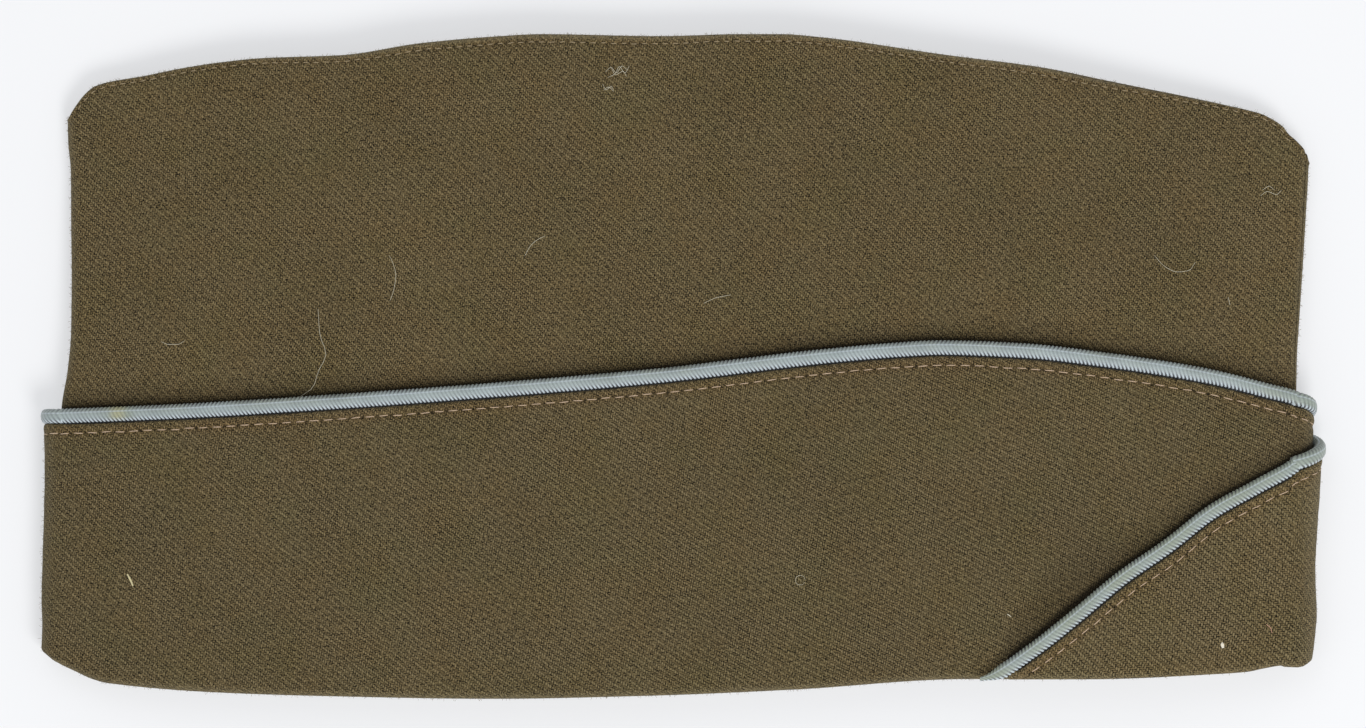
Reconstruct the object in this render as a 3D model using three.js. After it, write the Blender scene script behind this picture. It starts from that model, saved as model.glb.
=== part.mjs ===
// A wool garrison cap, folded flat and lying on its left side.
//
// The cap is a flat tube of two crown sides, seamed up the back and front folds and closed at the top by
// a two-piece crown top that folds inwards as a valley. A left and a right curtain are turned up round
// the rim. Their top edges carry a corded piping, and their front ends cross: the right one passes round
// the front fold under the left one, and the left one ends on the right side as a triangle that lies over
// the right curtain.
//
// Millimetres. +X points to the front of the cap, +Y to its top and +Z away from the surface that it
// lies on. The origin is under the middle of the cap, on that surface.
import * as THREE from "three";

// Cloth and trim
const crownWall = 1.3; // wool serge of the crown sides
const crownTopWall = 1.2; // the same serge in the crown top, pressed
const curtainWall = 1.8; // a curtain is two layers of serge
const pipingWidth = 3.2; // across the cord, seen from the side
const pipingDepth = 2.6; // through the cord, which is pressed flatter
const ease = 0.34; // between neighbouring layers
const seamEase = 0.4; // at a butted seam, on the middle of the cloth; it is less inside a crease
const edgeRound = 0.45; // how far a cut or turned edge is rounded

// The folded cap
const rimLength = 283.3; // from the back fold to the front fold, on the middle of the crown cloth
const capHeight = 150.5; // from the lowest point of the rim to the highest point of the top edge
const foldRadius = 1.6; // of the creases at the back and front, on the middle of the crown cloth
const frontSeamTurn = 0.5; // the crown's front seam is this share of a quarter turn before the front fold
const rimPuff = 8; // how far the upper side stands up over the lower one at the rim, past the creases
const topPuff = 5; // the same at the top edge
const puffFlatness = 4; // the higher, the flatter the upper side and the steeper its way down to a crease
const valleyDepth = 36; // of the crown top's fold below the top edge, at its middle
const valleyEndDepth = 3.2; // the same at its two ends
const valleyEndGap = 15; // from each crease to the crown top's end; there the crown sides are turned in
const valleyCorner = 1.4; // radius of the bend at the bottom of the valley
const leftPeek = 0.9; // the left crown side stands this much over the right one where the top slopes down
const crownTopDrop = 0.6; // the crown top ends this far below the top edge of the crown sides
const tipHeight = 1.2; // least height of a curtain's tapered end

// Where the curtains lap, as shares of the rim's length from the back fold
const lapBeginShare = 0.63; // here the left curtain starts to leave the crown
const lapFullShare = 0.755; // from here on it lies over the right curtain
const lapEndShare = 1.243; // a curtain's piping ends here, past the front fold and back along the other side
const tailSetbackShare = 0.025; // the curtain itself ends this much before its piping
const rightPipingEndShare = 1.008; // beyond this the right piping would be hidden under the left curtain

// How finely the shapes are stepped
const lengthSteps = 32;
const foldSteps = 4;
const endCrowding = 0.82; // 0 spaces the places evenly, 1 crowds them fully towards the folds
const closestShare = 0.001; // least distance between two places, as a share of the rim's length
const curtainSteps = 4;
const crownRows = [0, 0.15, 0.32, 0.5, 0.68, 0.85, 1]; // shares of the way from the piping to the top edge
const pipingSides = 8;

// Height of the rim and of the top edge, as shares of the cap's height, from its back to its front.
const rimTable = [
  { along: 0, rim: 0.066 },
  { along: 0.0056, rim: 0.0526 },
  { along: 0.012, rim: 0.0465 },
  { along: 0.019, rim: 0.0405 },
  { along: 0.0334, rim: 0.0285 },
  { along: 0.046, rim: 0.0225 },
  { along: 0.13, rim: 0.0095 },
  { along: 0.22, rim: 0.004 },
  { along: 0.356, rim: 0 },
  { along: 0.48, rim: 0.0045 },
  { along: 0.6, rim: 0.014 },
  { along: 0.74, rim: 0.03 },
  { along: 0.835, rim: 0.03 },
  { along: 0.94, rim: 0.0375 },
  { along: 0.962, rim: 0.0405 },
  { along: 0.974, rim: 0.045 },
  { along: 0.99, rim: 0.0495 },
  { along: 0.997, rim: 0.0465 },
  { along: 1, rim: 0.054 },
];
const topTable = [
  { along: 0, top: 0.874 },
  { along: 0.0028, top: 0.886 },
  { along: 0.0069, top: 0.899 },
  { along: 0.0134, top: 0.913 },
  { along: 0.0198, top: 0.922 },
  { along: 0.0326, top: 0.929 },
  { along: 0.0585, top: 0.937 },
  { along: 0.0907, top: 0.949 },
  { along: 0.123, top: 0.958 },
  { along: 0.155, top: 0.964 },
  { along: 0.22, top: 0.9685 },
  { along: 0.284, top: 0.9865 },
  { along: 0.348, top: 0.997 },
  { along: 0.381, top: 1 },
  { along: 0.477, top: 0.997 },
  { along: 0.542, top: 1 },
  { along: 0.574, top: 1 },
  { along: 0.606, top: 0.9955 },
  { along: 0.703, top: 0.97 },
  { along: 0.7675, top: 0.9535 },
  { along: 0.832, top: 0.928 },
  { along: 0.896, top: 0.904 },
  { along: 0.961, top: 0.8815 },
  { along: 0.973, top: 0.871 },
  { along: 0.981, top: 0.8604 },
  { along: 0.985, top: 0.85 },
  { along: 0.989, top: 0.844 },
  { along: 0.9943, top: 0.8345 },
  { along: 0.9972, top: 0.827 },
  { along: 1, top: 0.809 },
];
// How far the back and front folds stand inside the full length, as shares of it, from the rim (up 0) to
// the top edge (up 1): those of the curtains, and those of the crown, which stands clear inside them.
const curtainFoldTable = [
  { up: 0, back: -0.002, front: 0.0115 },
  { up: 0.06, back: -0.0012, front: 0.0088 },
  { up: 0.1, back: -0.002, front: 0.0076 },
  { up: 0.18, back: -0.0014, front: 0.0086 },
  { up: 0.26, back: 0, front: 0.0074 },
  { up: 0.34, back: 0.001, front: 0.0054 },
  { up: 0.42, back: 0.0006, front: 0.0034 },
  { up: 0.48, back: 0.001, front: 0.0022 },
];
const crownFoldTable = [
  { up: 0, back: -0.002, front: 0.0115 },
  { up: 0.2, back: 0.002, front: 0.0106 },
  { up: 0.46, back: 0.007, front: 0.0092 },
  { up: 0.53, back: 0.0118, front: 0.0086 },
  { up: 0.6, back: 0.0144, front: 0.008 },
  { up: 0.7, back: 0.0148, front: 0.0053 },
  { up: 0.8, back: 0.0142, front: 0.0024 },
  { up: 0.9, back: 0.0138, front: -0.0002 },
  { up: 0.96, back: 0.0116, front: -0.0018 },
  { up: 1, back: 0.0114, front: -0.0028 },
];
// Height of the middle of each curtain's piping, as a share of the cap's height. Along runs from the back
// seam to the front fold at 1, and past it back along the other side.
const pipingTable = [
  { along: 0, right: 0.424, left: 0.424 },
  { along: 0.1, right: 0.4318, left: 0.4318 },
  { along: 0.228, right: 0.4467, left: 0.4467 },
  { along: 0.356, right: 0.4647, left: 0.463 },
  { along: 0.484, right: 0.4857, left: 0.481 },
  { along: 0.613, right: 0.5143, left: 0.502 },
  { along: 0.677, right: 0.5248, left: 0.508 },
  { along: 0.709, right: 0.5278, left: 0.507 },
  { along: 0.773, right: 0.5233, left: 0.496 },
  { along: 0.837, right: 0.5098, left: 0.476 },
  { along: 0.901, right: 0.4917, left: 0.45 },
  { along: 0.933, right: 0.4797, left: 0.434 },
  { along: 0.967, right: 0.4632, left: 0.413 },
  { along: 0.991, right: 0.451, left: 0.395 },
  { along: 1, right: 0.437, left: 0.3754 },
  { along: 1.009, right: 0.42, left: 0.353 },
  { along: 1.037, right: 0.385, left: 0.3213 },
  { along: 1.073, right: 0.342, left: 0.2823 },
  { along: 1.109, right: 0.286, left: 0.2282 },
  { along: 1.144, right: 0.238, left: 0.1817 },
  { along: 1.18, right: 0.181, left: 0.1261 },
  { along: 1.215, right: 0.125, left: 0.0721 },
  { along: 1.243, right: 0.084, left: 0.036 },
];

const { abs, min, max, sin, cos, hypot, PI } = Math;
const mix = (a, b, share) => a + (b - a) * share;
const smooth = (share) => THREE.MathUtils.smoothstep(share, 0, 1);

// A curve through one column of a table that never overshoots its rows (a monotone cubic).
function curveThrough(rows, key, column) {
  const x = rows.map((row) => row[key]);
  const y = rows.map((row) => row[column]);
  const last = x.length - 1;
  const chord = x.slice(1).map((next, i) => (y[i + 1] - y[i]) / (next - x[i]));
  const slope = x.map((_, i) => {
    if (i === 0) return chord[0];
    if (i === last) return chord[last - 1];
    const [before, after] = [chord[i - 1], chord[i]];
    return before * after > 0 ? (2 * before * after) / (before + after) : 0;
  });
  return (at) => {
    if (at <= x[0]) return y[0];
    if (at >= x[last]) return y[last];
    const i = x.findIndex((next) => next > at) - 1;
    const width = x[i + 1] - x[i];
    const share = (at - x[i]) / width;
    const bend = share * share * (3 - 2 * share);
    const leaving = share * (1 - share) ** 2 * slope[i];
    const arriving = share ** 2 * (share - 1) * slope[i + 1];
    return mix(y[i], y[i + 1], bend) + width * (leaving + arriving);
  };
}
const rimShare = curveThrough(rimTable, "along", "rim");
const topShare = curveThrough(topTable, "along", "top");
const pipingShare = {
  right: curveThrough(pipingTable, "along", "right"),
  left: curveThrough(pipingTable, "along", "left"),
};
const foldsOf = (table) => {
  const back = curveThrough(table, "up", "back");
  const front = curveThrough(table, "up", "front");
  return { back: (up) => back(up) * rimLength, front: (up) => (1 - front(up)) * rimLength };
};
const crownFolds = foldsOf(crownFoldTable);
const curtainFolds = foldsOf(curtainFoldTable);

// Layers, as distances from the middle of the crown cloth, outwards
const crownFace = crownWall / 2;
const curtainInside = crownFace + ease;
const lapRise = curtainWall + 1.4 * ease;

// The share of the lap's full depth at a share of the rim's length: 0 where one curtain lies on the crown,
// 1 where two do.
const lapAt = (along) => smooth((along - lapBeginShare) / (lapFullShare - lapBeginShare));
const innerFace = {
  right: () => curtainInside,
  left: (along) => curtainInside + lapRise * lapAt(along),
};

// Heights along the cap, and the share of its own height there that a height is.
const rimHeight = (share) => rimShare(share) * capHeight;
const topHeight = (share) => topShare(share) * capHeight;
const upAt = (share, height) => (height - rimHeight(share)) / (topHeight(share) - rimHeight(share));
const peek = (share) => leftPeek * smooth((share - 0.72) / 0.1) * smooth((0.97 - share) / 0.08);
const pipingHeight = (side, along) => pipingShare[side](along) * capHeight;

// How high the middle of the lower side's crown cloth lies: on the curtain, then on the piping, which is
// thicker, and past it down to the surface.
function lowerLevel(x, up) {
  const along = min(max(x / rimLength, 0), 1);
  const onCurtain = curtainInside + curtainWall + lapRise * lapAt(along);
  const onPiping = onCurtain + pipingDepth - curtainWall;
  const pipingUp = upAt(along, pipingHeight("left", along));
  if (up < pipingUp) return mix(onCurtain, onPiping, smooth(2 * (up / pipingUp) - 1));
  return mix(onPiping, crownFace, smooth((up - pipingUp) / (1 - pipingUp)));
}

// How far the upper side stands up past the creases' own thickness.
function puff(x, up) {
  const share = (x - crownFolds.back(up)) / (crownFolds.front(up) - crownFolds.back(up));
  const across = 1 - min(1, abs(2 * share - 1)) ** puffFlatness;
  return mix(rimPuff, topPuff, up) * across;
}

// The loop round the cap is measured from the back seam: 0 to 1 along the upper, right side to the front
// fold, and 1 to 2 back along the lower, left side. At each end of a side this much of it is a quarter turn.
const quarterTurn = (PI * foldRadius) / 2 / (rimLength + (PI - 2) * foldRadius);

// For a place along one side: the share of the length that it is at, and how far round the crease it is.
function alongAndRound(along) {
  const fromFold = min(along, 1 - along);
  if (fromFold >= quarterTurn) {
    const inner = foldRadius / rimLength;
    return { share: mix(inner, 1 - inner, (along - quarterTurn) / (1 - 2 * quarterTurn)), rise: 1 };
  }
  const turn = (fromFold / quarterTurn) * (PI / 2);
  const inset = (foldRadius * (1 - cos(turn))) / rimLength;
  return { share: along < 0.5 ? inset : 1 - inset, rise: sin(turn) };
}
const shareAt = (loop) => alongAndRound(loop <= 1 ? loop : 2 - loop).share;

// A point on the middle of the crown cloth, or of that cloth widened to the curtains' folds.
function basePoint(folds, loop, height) {
  const upper = loop <= 1;
  const { share, rise } = alongAndRound(upper ? loop : 2 - loop);
  const up = upAt(share, height);
  const x = mix(folds.back(up), folds.front(up), share);
  const middle = lowerLevel(x, up) + foldRadius;
  const z = upper ? middle + (foldRadius + puff(x, up)) * rise : middle - foldRadius * rise;
  return new THREE.Vector3(x, height, z);
}

// The direction round that loop at one height, and the level direction out of it.
const probe = quarterTurn / 1000;
function roundAndOut(folds, loop, height) {
  const ahead = basePoint(folds, loop + probe, height);
  const round = ahead.sub(basePoint(folds, loop - probe, height)).normalize();
  return { round, out: new THREE.Vector3(-round.z, 0, round.x) };
}
const place = (folds, loop, height, out) =>
  basePoint(folds, loop, height).addScaledVector(roundAndOut(folds, loop, height).out, out);

// A closed solid through sections of equally many points. Each section goes up one face of the cloth and
// down the other, so that its ends are filled by a ladder between the two.
function loft(sections) {
  const count = sections[0].length;
  const points = sections.flat();
  const triangles = [];
  for (let start = 0; start + count < points.length; start += count) {
    for (let p = 0; p < count; p++) {
      const [a, b] = [start + p, start + ((p + 1) % count)];
      triangles.push([a, b, b + count], [a, b + count, a + count]);
    }
  }
  const end = points.length - count;
  for (let p = 0; p + 1 < count / 2; p++) {
    const across = count - 2 - p;
    triangles.push([p, across, p + 1], [p, across + 1, across]);
    triangles.push([end + p, end + p + 1, end + across], [end + p, end + across, end + across + 1]);
  }
  const volume = triangles.reduce((sum, [a, b, c]) => {
    return sum + points[a].dot(points[b].clone().cross(points[c]));
  }, 0);
  const facingOut = volume < 0 ? triangles.map((corners) => corners.reverse()) : triangles;
  const coordinates = points.flatMap((point) => point.toArray());
  const geometry = new THREE.BufferGeometry();
  geometry.setAttribute("position", new THREE.Float32BufferAttribute(coordinates, 3));
  geometry.setIndex(facingOut.flat());
  return geometry;
}

// Places along one side from the back seam to the front fold, closestShare together near the folds.
const alongSide = [];
for (let i = 0; i < foldSteps; i++) alongSide.push((quarterTurn * i) / foldSteps);
for (let i = 0; i <= lengthSteps; i++) {
  const share = i / lengthSteps;
  const crowded = share - (endCrowding * sin(2 * PI * share)) / (2 * PI);
  alongSide.push(mix(quarterTurn, 1 - quarterTurn, crowded));
}
for (let i = 1; i <= foldSteps; i++) alongSide.push(1 - quarterTurn * (1 - i / foldSteps));

// The same places up to an end, which may be past the front fold.
function alongUpTo(end) {
  const beyond = alongSide.map((at) => 2 - at).reverse();
  const places = [...alongSide, ...beyond.slice(1)];
  return [...places.filter((at) => at < end - closestShare), end];
}

const loopOf = { right: (along) => along, left: (along) => 2 - along };

// A cloth piece. At each place along it, the outer and the inner chain of an outline run upwards through
// equally many [out, height] points. Where the piece ends in a seam it stops short of it.
function clothPiece(folds, side, places, outlineAt, seams) {
  const sections = places.map((along, i) => {
    const loop = loopOf[side](along);
    const { outer, inner } = outlineAt(along, shareAt(loop));
    const back = i === 0 && seams.back;
    const front = i === places.length - 1 && seams.front;
    const setback = (seamEase / 2) * (back ? 1 : front ? -1 : 0) * (side === "left" ? -1 : 1);
    return [...outer, ...inner.reverse()].map(([out, height]) => {
      const { round } = roundAndOut(folds, loop, height);
      return place(folds, loop, height, out).addScaledVector(round, setback);
    });
  });
  return loft(sections);
}

// The middle of a piping, and its direction away from the back seam.
const pipingOut = (side, along) => innerFace[side](along) + pipingDepth / 2;
const pipingPoint = (side, along) =>
  place(curtainFolds, loopOf[side](along), pipingHeight(side, along), pipingOut(side, along));
function pipingDirection(side, along) {
  const step = quarterTurn / 10;
  const from = pipingPoint(side, max(along - step, 0));
  return pipingPoint(side, along + step).sub(from).normalize();
}

// The top edge of a curtain runs under its piping, whose width counts square to its own slope.
function curtainTop(side, along) {
  const step = quarterTurn / 2;
  const rise = pipingHeight(side, along + step) - pipingHeight(side, along - step);
  const steepness = hypot(1, rise / (2 * step * rimLength));
  return pipingHeight(side, along) - (pipingWidth / 2 + ease) * steepness;
}

function curtain(side) {
  const outlineAt = (along, share) => {
    const rim = rimHeight(share);
    const top = max(curtainTop(side, along), rim + curtainWall + tipHeight);
    const inside = innerFace[side](along);
    const outside = inside + curtainWall;
    // The turned rim reaches in under the crown's edge, but not where this curtain lies over the other one.
    const lapped = side === "left" ? min(1, 4 * lapAt(along)) : 0;
    const lip = mix(-crownFace, inside - ease / 3, lapped);
    const crease = rim + curtainWall;
    const outer = [
      [lip + edgeRound, rim],
      [outside - 2 * edgeRound, rim],
      [outside - edgeRound / 2, rim + edgeRound / 2],
    ];
    const inner = [
      [lip, rim + edgeRound],
      [lip, crease],
      [inside - ease / 3, crease],
    ];
    for (let i = 0; i <= curtainSteps; i++) {
      const step = i / curtainSteps;
      outer.push([outside, mix(rim + 2 * edgeRound, top - edgeRound, step)]);
      inner.push([inside, mix(crease + ease / 3, top - edgeRound, step)]);
    }
    outer.push([outside - edgeRound, top]);
    inner.push([inside + edgeRound, top]);
    return { outer, inner };
  };
  return clothPiece(curtainFolds, side, alongUpTo(lapEndShare - tailSetbackShare), outlineAt, { back: true });
}

// One cord runs from the front of the right curtain round the back to the end of the left one.
function piping() {
  const right = alongUpTo(rightPipingEndShare).map((along) => ["right", along]);
  const left = alongUpTo(lapEndShare).map((along) => ["left", along]);
  const ring = [];
  for (let i = 0; i < pipingSides; i++) {
    const turn = ((i + 0.5) / pipingSides) * 2 * PI;
    ring.push([(cos(turn) * pipingWidth) / 2, (sin(turn) * pipingDepth) / 2]);
  }
  const sections = [...right.slice(1).reverse(), ...left].map(([side, along]) => {
    const centre = pipingPoint(side, along);
    const { out } = roundAndOut(curtainFolds, loopOf[side](along), pipingHeight(side, along));
    const forwards = pipingDirection(side, along).multiplyScalar(side === "left" ? 1 : -1);
    const across = forwards.cross(out).normalize();
    return ring.map(([wide, deep]) =>
      centre.clone().addScaledVector(across, wide).addScaledVector(out, deep),
    );
  });
  return loft(sections);
}

// Half the distance between the middles of the two crown sides at the top edge.
function halfGap(along) {
  const height = topHeight(shareAt(along));
  const [upper, lower] = [basePoint(crownFolds, along, height), basePoint(crownFolds, 2 - along, height)];
  return abs(upper.z - lower.z) / 2;
}
const valleyStart = valleyEndGap / rimLength;
const insideValley = (along) => along >= valleyStart && along <= 1 - valleyStart;

// Beyond the crown top's ends the two crown sides are turned in at the top edge until they meet.
function turnedIn(side, along) {
  if (insideValley(along)) return 0;
  if (abs(along - 0.5) > 0.5 - quarterTurn) return 0;
  const height = topHeight(shareAt(along));
  const steepness = abs(roundAndOut(crownFolds, loopOf[side](along), height).out.z);
  return (halfGap(along) - ease / 2) / steepness - crownFace;
}

function crownSide(side) {
  // The front seam lies just inside the front fold on the right side, so that the left side comes round it.
  const frontSeam = quarterTurn * frontSeamTurn;
  const end = side === "right" ? 1 - frontSeam : 1 + frontSeam;
  const atEnds = [valleyStart - closestShare, valleyStart, 1 - valleyStart, 1 - valleyStart + closestShare];
  const clear = (along) => atEnds.every((at) => abs(at - along) > closestShare);
  const places = [...alongUpTo(end).filter(clear), ...atEnds].sort((a, b) => a - b);
  const outlineAt = (along, share) => {
    const bottom = rimHeight(share) + curtainWall + 1.5 * ease;
    const top = topHeight(share) + (side === "left" ? peek(share) : 0);
    const middle = pipingHeight(side, along);
    const deep = crownFace + turnedIn(side, along);
    const outer = [];
    const inner = [];
    for (let i = 0; i < curtainSteps; i++) {
      const height = mix(bottom, middle, i / curtainSteps);
      outer.push([crownFace, height]);
      inner.push([-crownFace, height]);
    }
    for (const row of crownRows) {
      outer.push([crownFace, mix(middle, top - edgeRound, row)]);
      inner.push([-crownFace, mix(middle, top - crownWall - ease / 3, row)]);
    }
    outer.push([crownFace - edgeRound / 3, top - edgeRound / 3], [crownFace - edgeRound, top]);
    inner.push([-deep, top - crownWall], [-deep, top]);
    return { outer, inner };
  };
  return clothPiece(crownFolds, side, places, outlineAt, { back: true, front: true });
}

// One half of the crown top: a leg inside its crown side, and a turn in to the seam along the valley's
// bottom.
function crownTop(side) {
  const start = valleyStart + ease / rimLength;
  const [first, last] = [start + closestShare, 1 - start - closestShare];
  const places = [start, ...alongSide.filter((at) => at > first && at < last), 1 - start];
  const outlineAt = (along, share) => {
    const top = topHeight(share) - crownTopDrop;
    const bottom = topHeight(share) - mix(valleyEndDepth, valleyDepth, sin(PI * along));
    const outside = crownFace + 1.2 * ease;
    const seam = halfGap(along) - ease / 2;
    const inside = min(outside + crownTopWall, seam - ease);
    const floor = bottom + crownTopWall;
    const halfway = mix(bottom, top, 0.5);
    const corner = 1 - sin(PI / 4);
    const bend = min(valleyCorner, seam - outside - ease);
    const crease = min(valleyCorner - crownTopWall + ease, seam - inside - ease / 3);
    const outer = [
      [-seam, bottom],
      [-outside - bend, bottom],
      [-outside - bend * corner, bottom + bend * corner],
      [-outside, bottom + bend],
      [-outside, halfway],
      [-outside, top],
    ];
    const inner = [
      [-seam, floor],
      [-inside - crease, floor],
      [-inside - crease * corner, floor + crease * corner],
      [-inside, floor + crease],
      [-inside, halfway],
      [-inside, top],
    ];
    return { outer, inner };
  };
  return clothPiece(crownFolds, side, places, outlineAt, {});
}

const serge = new THREE.MeshStandardMaterial({ color: 0x5b5039, roughness: 0.95, metalness: 0 });
const cord = new THREE.MeshStandardMaterial({ color: 0xa9b8b8, roughness: 0.6, metalness: 0 });

const pieces = [
  ["crown_side_right", crownSide("right"), serge],
  ["crown_side_left", crownSide("left"), serge],
  ["crown_top_right", crownTop("right"), serge],
  ["crown_top_left", crownTop("left"), serge],
  ["curtain_right", curtain("right"), serge],
  ["curtain_left", curtain("left"), serge],
  ["piping", piping(), cord],
];

const cap = new THREE.Group();
for (const [name, geometry, material] of pieces) {
  geometry.computeVertexNormals();
  const mesh = new THREE.Mesh(geometry, material.clone());
  mesh.name = name;
  cap.add(mesh);
}
const bounds = new THREE.Box3().setFromObject(cap);
const centre = bounds.getCenter(new THREE.Vector3());
cap.position.set(-centre.x, -centre.y, -bounds.min.z);

export default cap;
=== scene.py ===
import math

import bpy
import numpy as np
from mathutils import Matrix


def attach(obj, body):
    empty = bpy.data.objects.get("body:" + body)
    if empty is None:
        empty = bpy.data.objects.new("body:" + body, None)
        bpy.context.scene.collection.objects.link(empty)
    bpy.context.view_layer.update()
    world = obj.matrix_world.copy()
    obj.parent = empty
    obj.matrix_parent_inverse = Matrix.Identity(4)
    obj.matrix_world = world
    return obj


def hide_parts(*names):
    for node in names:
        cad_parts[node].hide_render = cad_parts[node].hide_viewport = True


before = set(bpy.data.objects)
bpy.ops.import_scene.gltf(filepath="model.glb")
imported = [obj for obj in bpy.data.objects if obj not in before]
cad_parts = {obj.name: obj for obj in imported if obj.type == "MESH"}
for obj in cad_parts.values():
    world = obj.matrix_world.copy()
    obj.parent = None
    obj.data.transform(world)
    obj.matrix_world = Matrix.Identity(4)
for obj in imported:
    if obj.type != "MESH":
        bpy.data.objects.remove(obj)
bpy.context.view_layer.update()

MM = 0.001

# The sizes of the CAD model
CROWN_WALL = 1.3
CROWN_TOP_WALL = 1.2
CURTAIN_WALL = 1.8
PIPING_WIDTH = 3.2
PIPING_DEPTH = 2.6
EASE = 0.34
SEAM_EASE = 0.4
EDGE_ROUND = 0.45
RIM_LENGTH = 283.3
CAP_HEIGHT = 150.5
FOLD_RADIUS = 1.6
FRONT_SEAM_TURN = 0.5
RIM_PUFF = 8
TOP_PUFF = 5
PUFF_FLATNESS = 4
VALLEY_DEPTH = 36
VALLEY_END_DEPTH = 3.2
VALLEY_END_GAP = 15
VALLEY_CORNER = 1.4
LEFT_PEEK = 0.9
CROWN_TOP_DROP = 0.6
LAP_BEGINS = 0.63
LAP_FULL = 0.755
LAP_ENDS = 1.243
TAIL_SETBACK = 0.025
RIGHT_PIPING_ENDS = 1.008
ORIGIN = np.array([-142.3938, -75.2605, 0.162])  # of the CAD model's own tables, in the frame of the part

# Sizes that only the scene has
RIGHT_PEEK_SHARE = 0.45  # of LEFT_PEEK, as the right side's soft edge rises there too
SHOWN_SETBACK = 0.012  # how far under the cord the left curtain's tail stops
CORD_ENDS = 1.253  # the cord's fine tip, a little past where the CAD model's cord ends
EASE_AT_FOLDS = 0.02  # between the piping and a curtain's top edge, where the cord bends round a fold
FLOOR_EASE = 0.01

# (along, height of the rim), as shares of the rim's length and of the cap's height
RIM = [
    (0, 0.066), (0.0056, 0.0526), (0.012, 0.0465), (0.019, 0.0405), (0.0334, 0.0285), (0.046, 0.0225),
    (0.13, 0.0095), (0.22, 0.004), (0.356, 0), (0.48, 0.0045), (0.6, 0.014), (0.74, 0.03), (0.835, 0.03),
    (0.94, 0.0375), (0.962, 0.0405), (0.974, 0.045), (0.99, 0.0495), (0.997, 0.0465), (1, 0.054),
]
# (along, height of the top edge)
TOP = [
    (0, 0.874), (0.0028, 0.886), (0.0069, 0.899), (0.0134, 0.913), (0.0198, 0.922), (0.0326, 0.929),
    (0.0585, 0.937), (0.0907, 0.949), (0.123, 0.958), (0.155, 0.964), (0.22, 0.9685), (0.284, 0.9865),
    (0.348, 0.997), (0.381, 1), (0.477, 0.997), (0.542, 1), (0.574, 1), (0.606, 0.9955), (0.703, 0.97),
    (0.7675, 0.9535), (0.832, 0.928), (0.896, 0.904), (0.961, 0.8815), (0.973, 0.871), (0.981, 0.8604),
    (0.985, 0.85), (0.989, 0.844), (0.9943, 0.8345), (0.9972, 0.827), (1, 0.809),
]
# (up, inset of the back fold, inset of the front fold)
CURTAIN_FOLDS = [
    (0, -0.002, 0.0115), (0.06, -0.0012, 0.0088), (0.1, -0.002, 0.0076), (0.18, -0.0014, 0.0086),
    (0.26, 0, 0.0074), (0.34, 0.001, 0.0054), (0.42, 0.0006, 0.0034), (0.48, 0.001, 0.0022),
]
CROWN_FOLDS = [
    (0, -0.002, 0.0115), (0.2, 0.002, 0.0106), (0.46, 0.007, 0.0092), (0.53, 0.0118, 0.0086),
    (0.6, 0.0144, 0.008), (0.7, 0.0148, 0.0053), (0.8, 0.0142, 0.0024), (0.9, 0.0138, -0.0002),
    (0.96, 0.0116, -0.0018), (1, 0.0114, -0.0028),
]
# (along, height of the right piping, height of the left piping); past 1 they run back along the other side.
# The last row is the cord's fine tip, which only the scene has.
PIPINGS = [
    (0, 0.424, 0.424), (0.1, 0.4318, 0.4318), (0.228, 0.4467, 0.4467), (0.356, 0.4647, 0.463),
    (0.484, 0.4857, 0.481), (0.613, 0.5143, 0.502), (0.677, 0.5248, 0.508), (0.709, 0.5278, 0.507),
    (0.773, 0.5233, 0.496), (0.837, 0.5098, 0.476), (0.901, 0.4917, 0.45), (0.933, 0.4797, 0.434),
    (0.967, 0.4632, 0.413), (0.991, 0.451, 0.395), (1, 0.437, 0.3754), (1.009, 0.42, 0.353),
    (1.037, 0.385, 0.3213), (1.073, 0.342, 0.2823), (1.109, 0.286, 0.2282), (1.144, 0.238, 0.1817),
    (1.18, 0.181, 0.1261), (1.215, 0.125, 0.0721), (1.243, 0.084, 0.036), (1.253, 0.07, 0.0305),
]


def mix(a, b, share):
    return a + (b - a) * share


def smooth(value):
    value = np.clip(value, 0, 1)
    return value * value * (3 - 2 * value)


def bell(distance, width):
    return np.exp(-((distance / width) ** 2))


def curve_through(rows, column):
    """A monotone cubic through one column of a table."""
    x = np.array([row[0] for row in rows], float)
    y = np.array([row[column] for row in rows], float)
    chord = np.diff(y) / np.diff(x)
    product = chord[:-1] * chord[1:]
    total = np.where(product > 0, chord[:-1] + chord[1:], 1)
    inner = np.where(product > 0, 2 * product / total, 0)
    slope = np.concatenate(([chord[0]], inner, [chord[-1]]))

    def at(value):
        value = np.clip(value, x[0], x[-1])
        i = np.clip(np.searchsorted(x, value, side="right") - 1, 0, len(x) - 2)
        width = x[i + 1] - x[i]
        share = (value - x[i]) / width
        leaving = share * (1 - share) ** 2 * slope[i]
        arriving = share**2 * (share - 1) * slope[i + 1]
        return mix(y[i], y[i + 1], smooth(share)) + width * (leaving + arriving)

    return at


rim_share = curve_through(RIM, 1)
top_share = curve_through(TOP, 1)
piping_share = {"right": curve_through(PIPINGS, 1), "left": curve_through(PIPINGS, 2)}


def folds_of(table):
    back, front = curve_through(table, 1), curve_through(table, 2)
    return (lambda up: back(up) * RIM_LENGTH, lambda up: (1 - front(up)) * RIM_LENGTH)


crown_folds = folds_of(CROWN_FOLDS)
curtain_folds = folds_of(CURTAIN_FOLDS)

CROWN_FACE = CROWN_WALL / 2
CURTAIN_INSIDE = CROWN_FACE + EASE
LAP_RISE = CURTAIN_WALL + 1.4 * EASE


def lap_at(along):
    return smooth((along - LAP_BEGINS) / (LAP_FULL - LAP_BEGINS))


def inner_face(side, along):
    return CURTAIN_INSIDE + (LAP_RISE * lap_at(along) if side == "left" else 0 * along)


def rim_height(share):
    return rim_share(share) * CAP_HEIGHT


def top_height(share):
    return top_share(share) * CAP_HEIGHT


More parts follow.
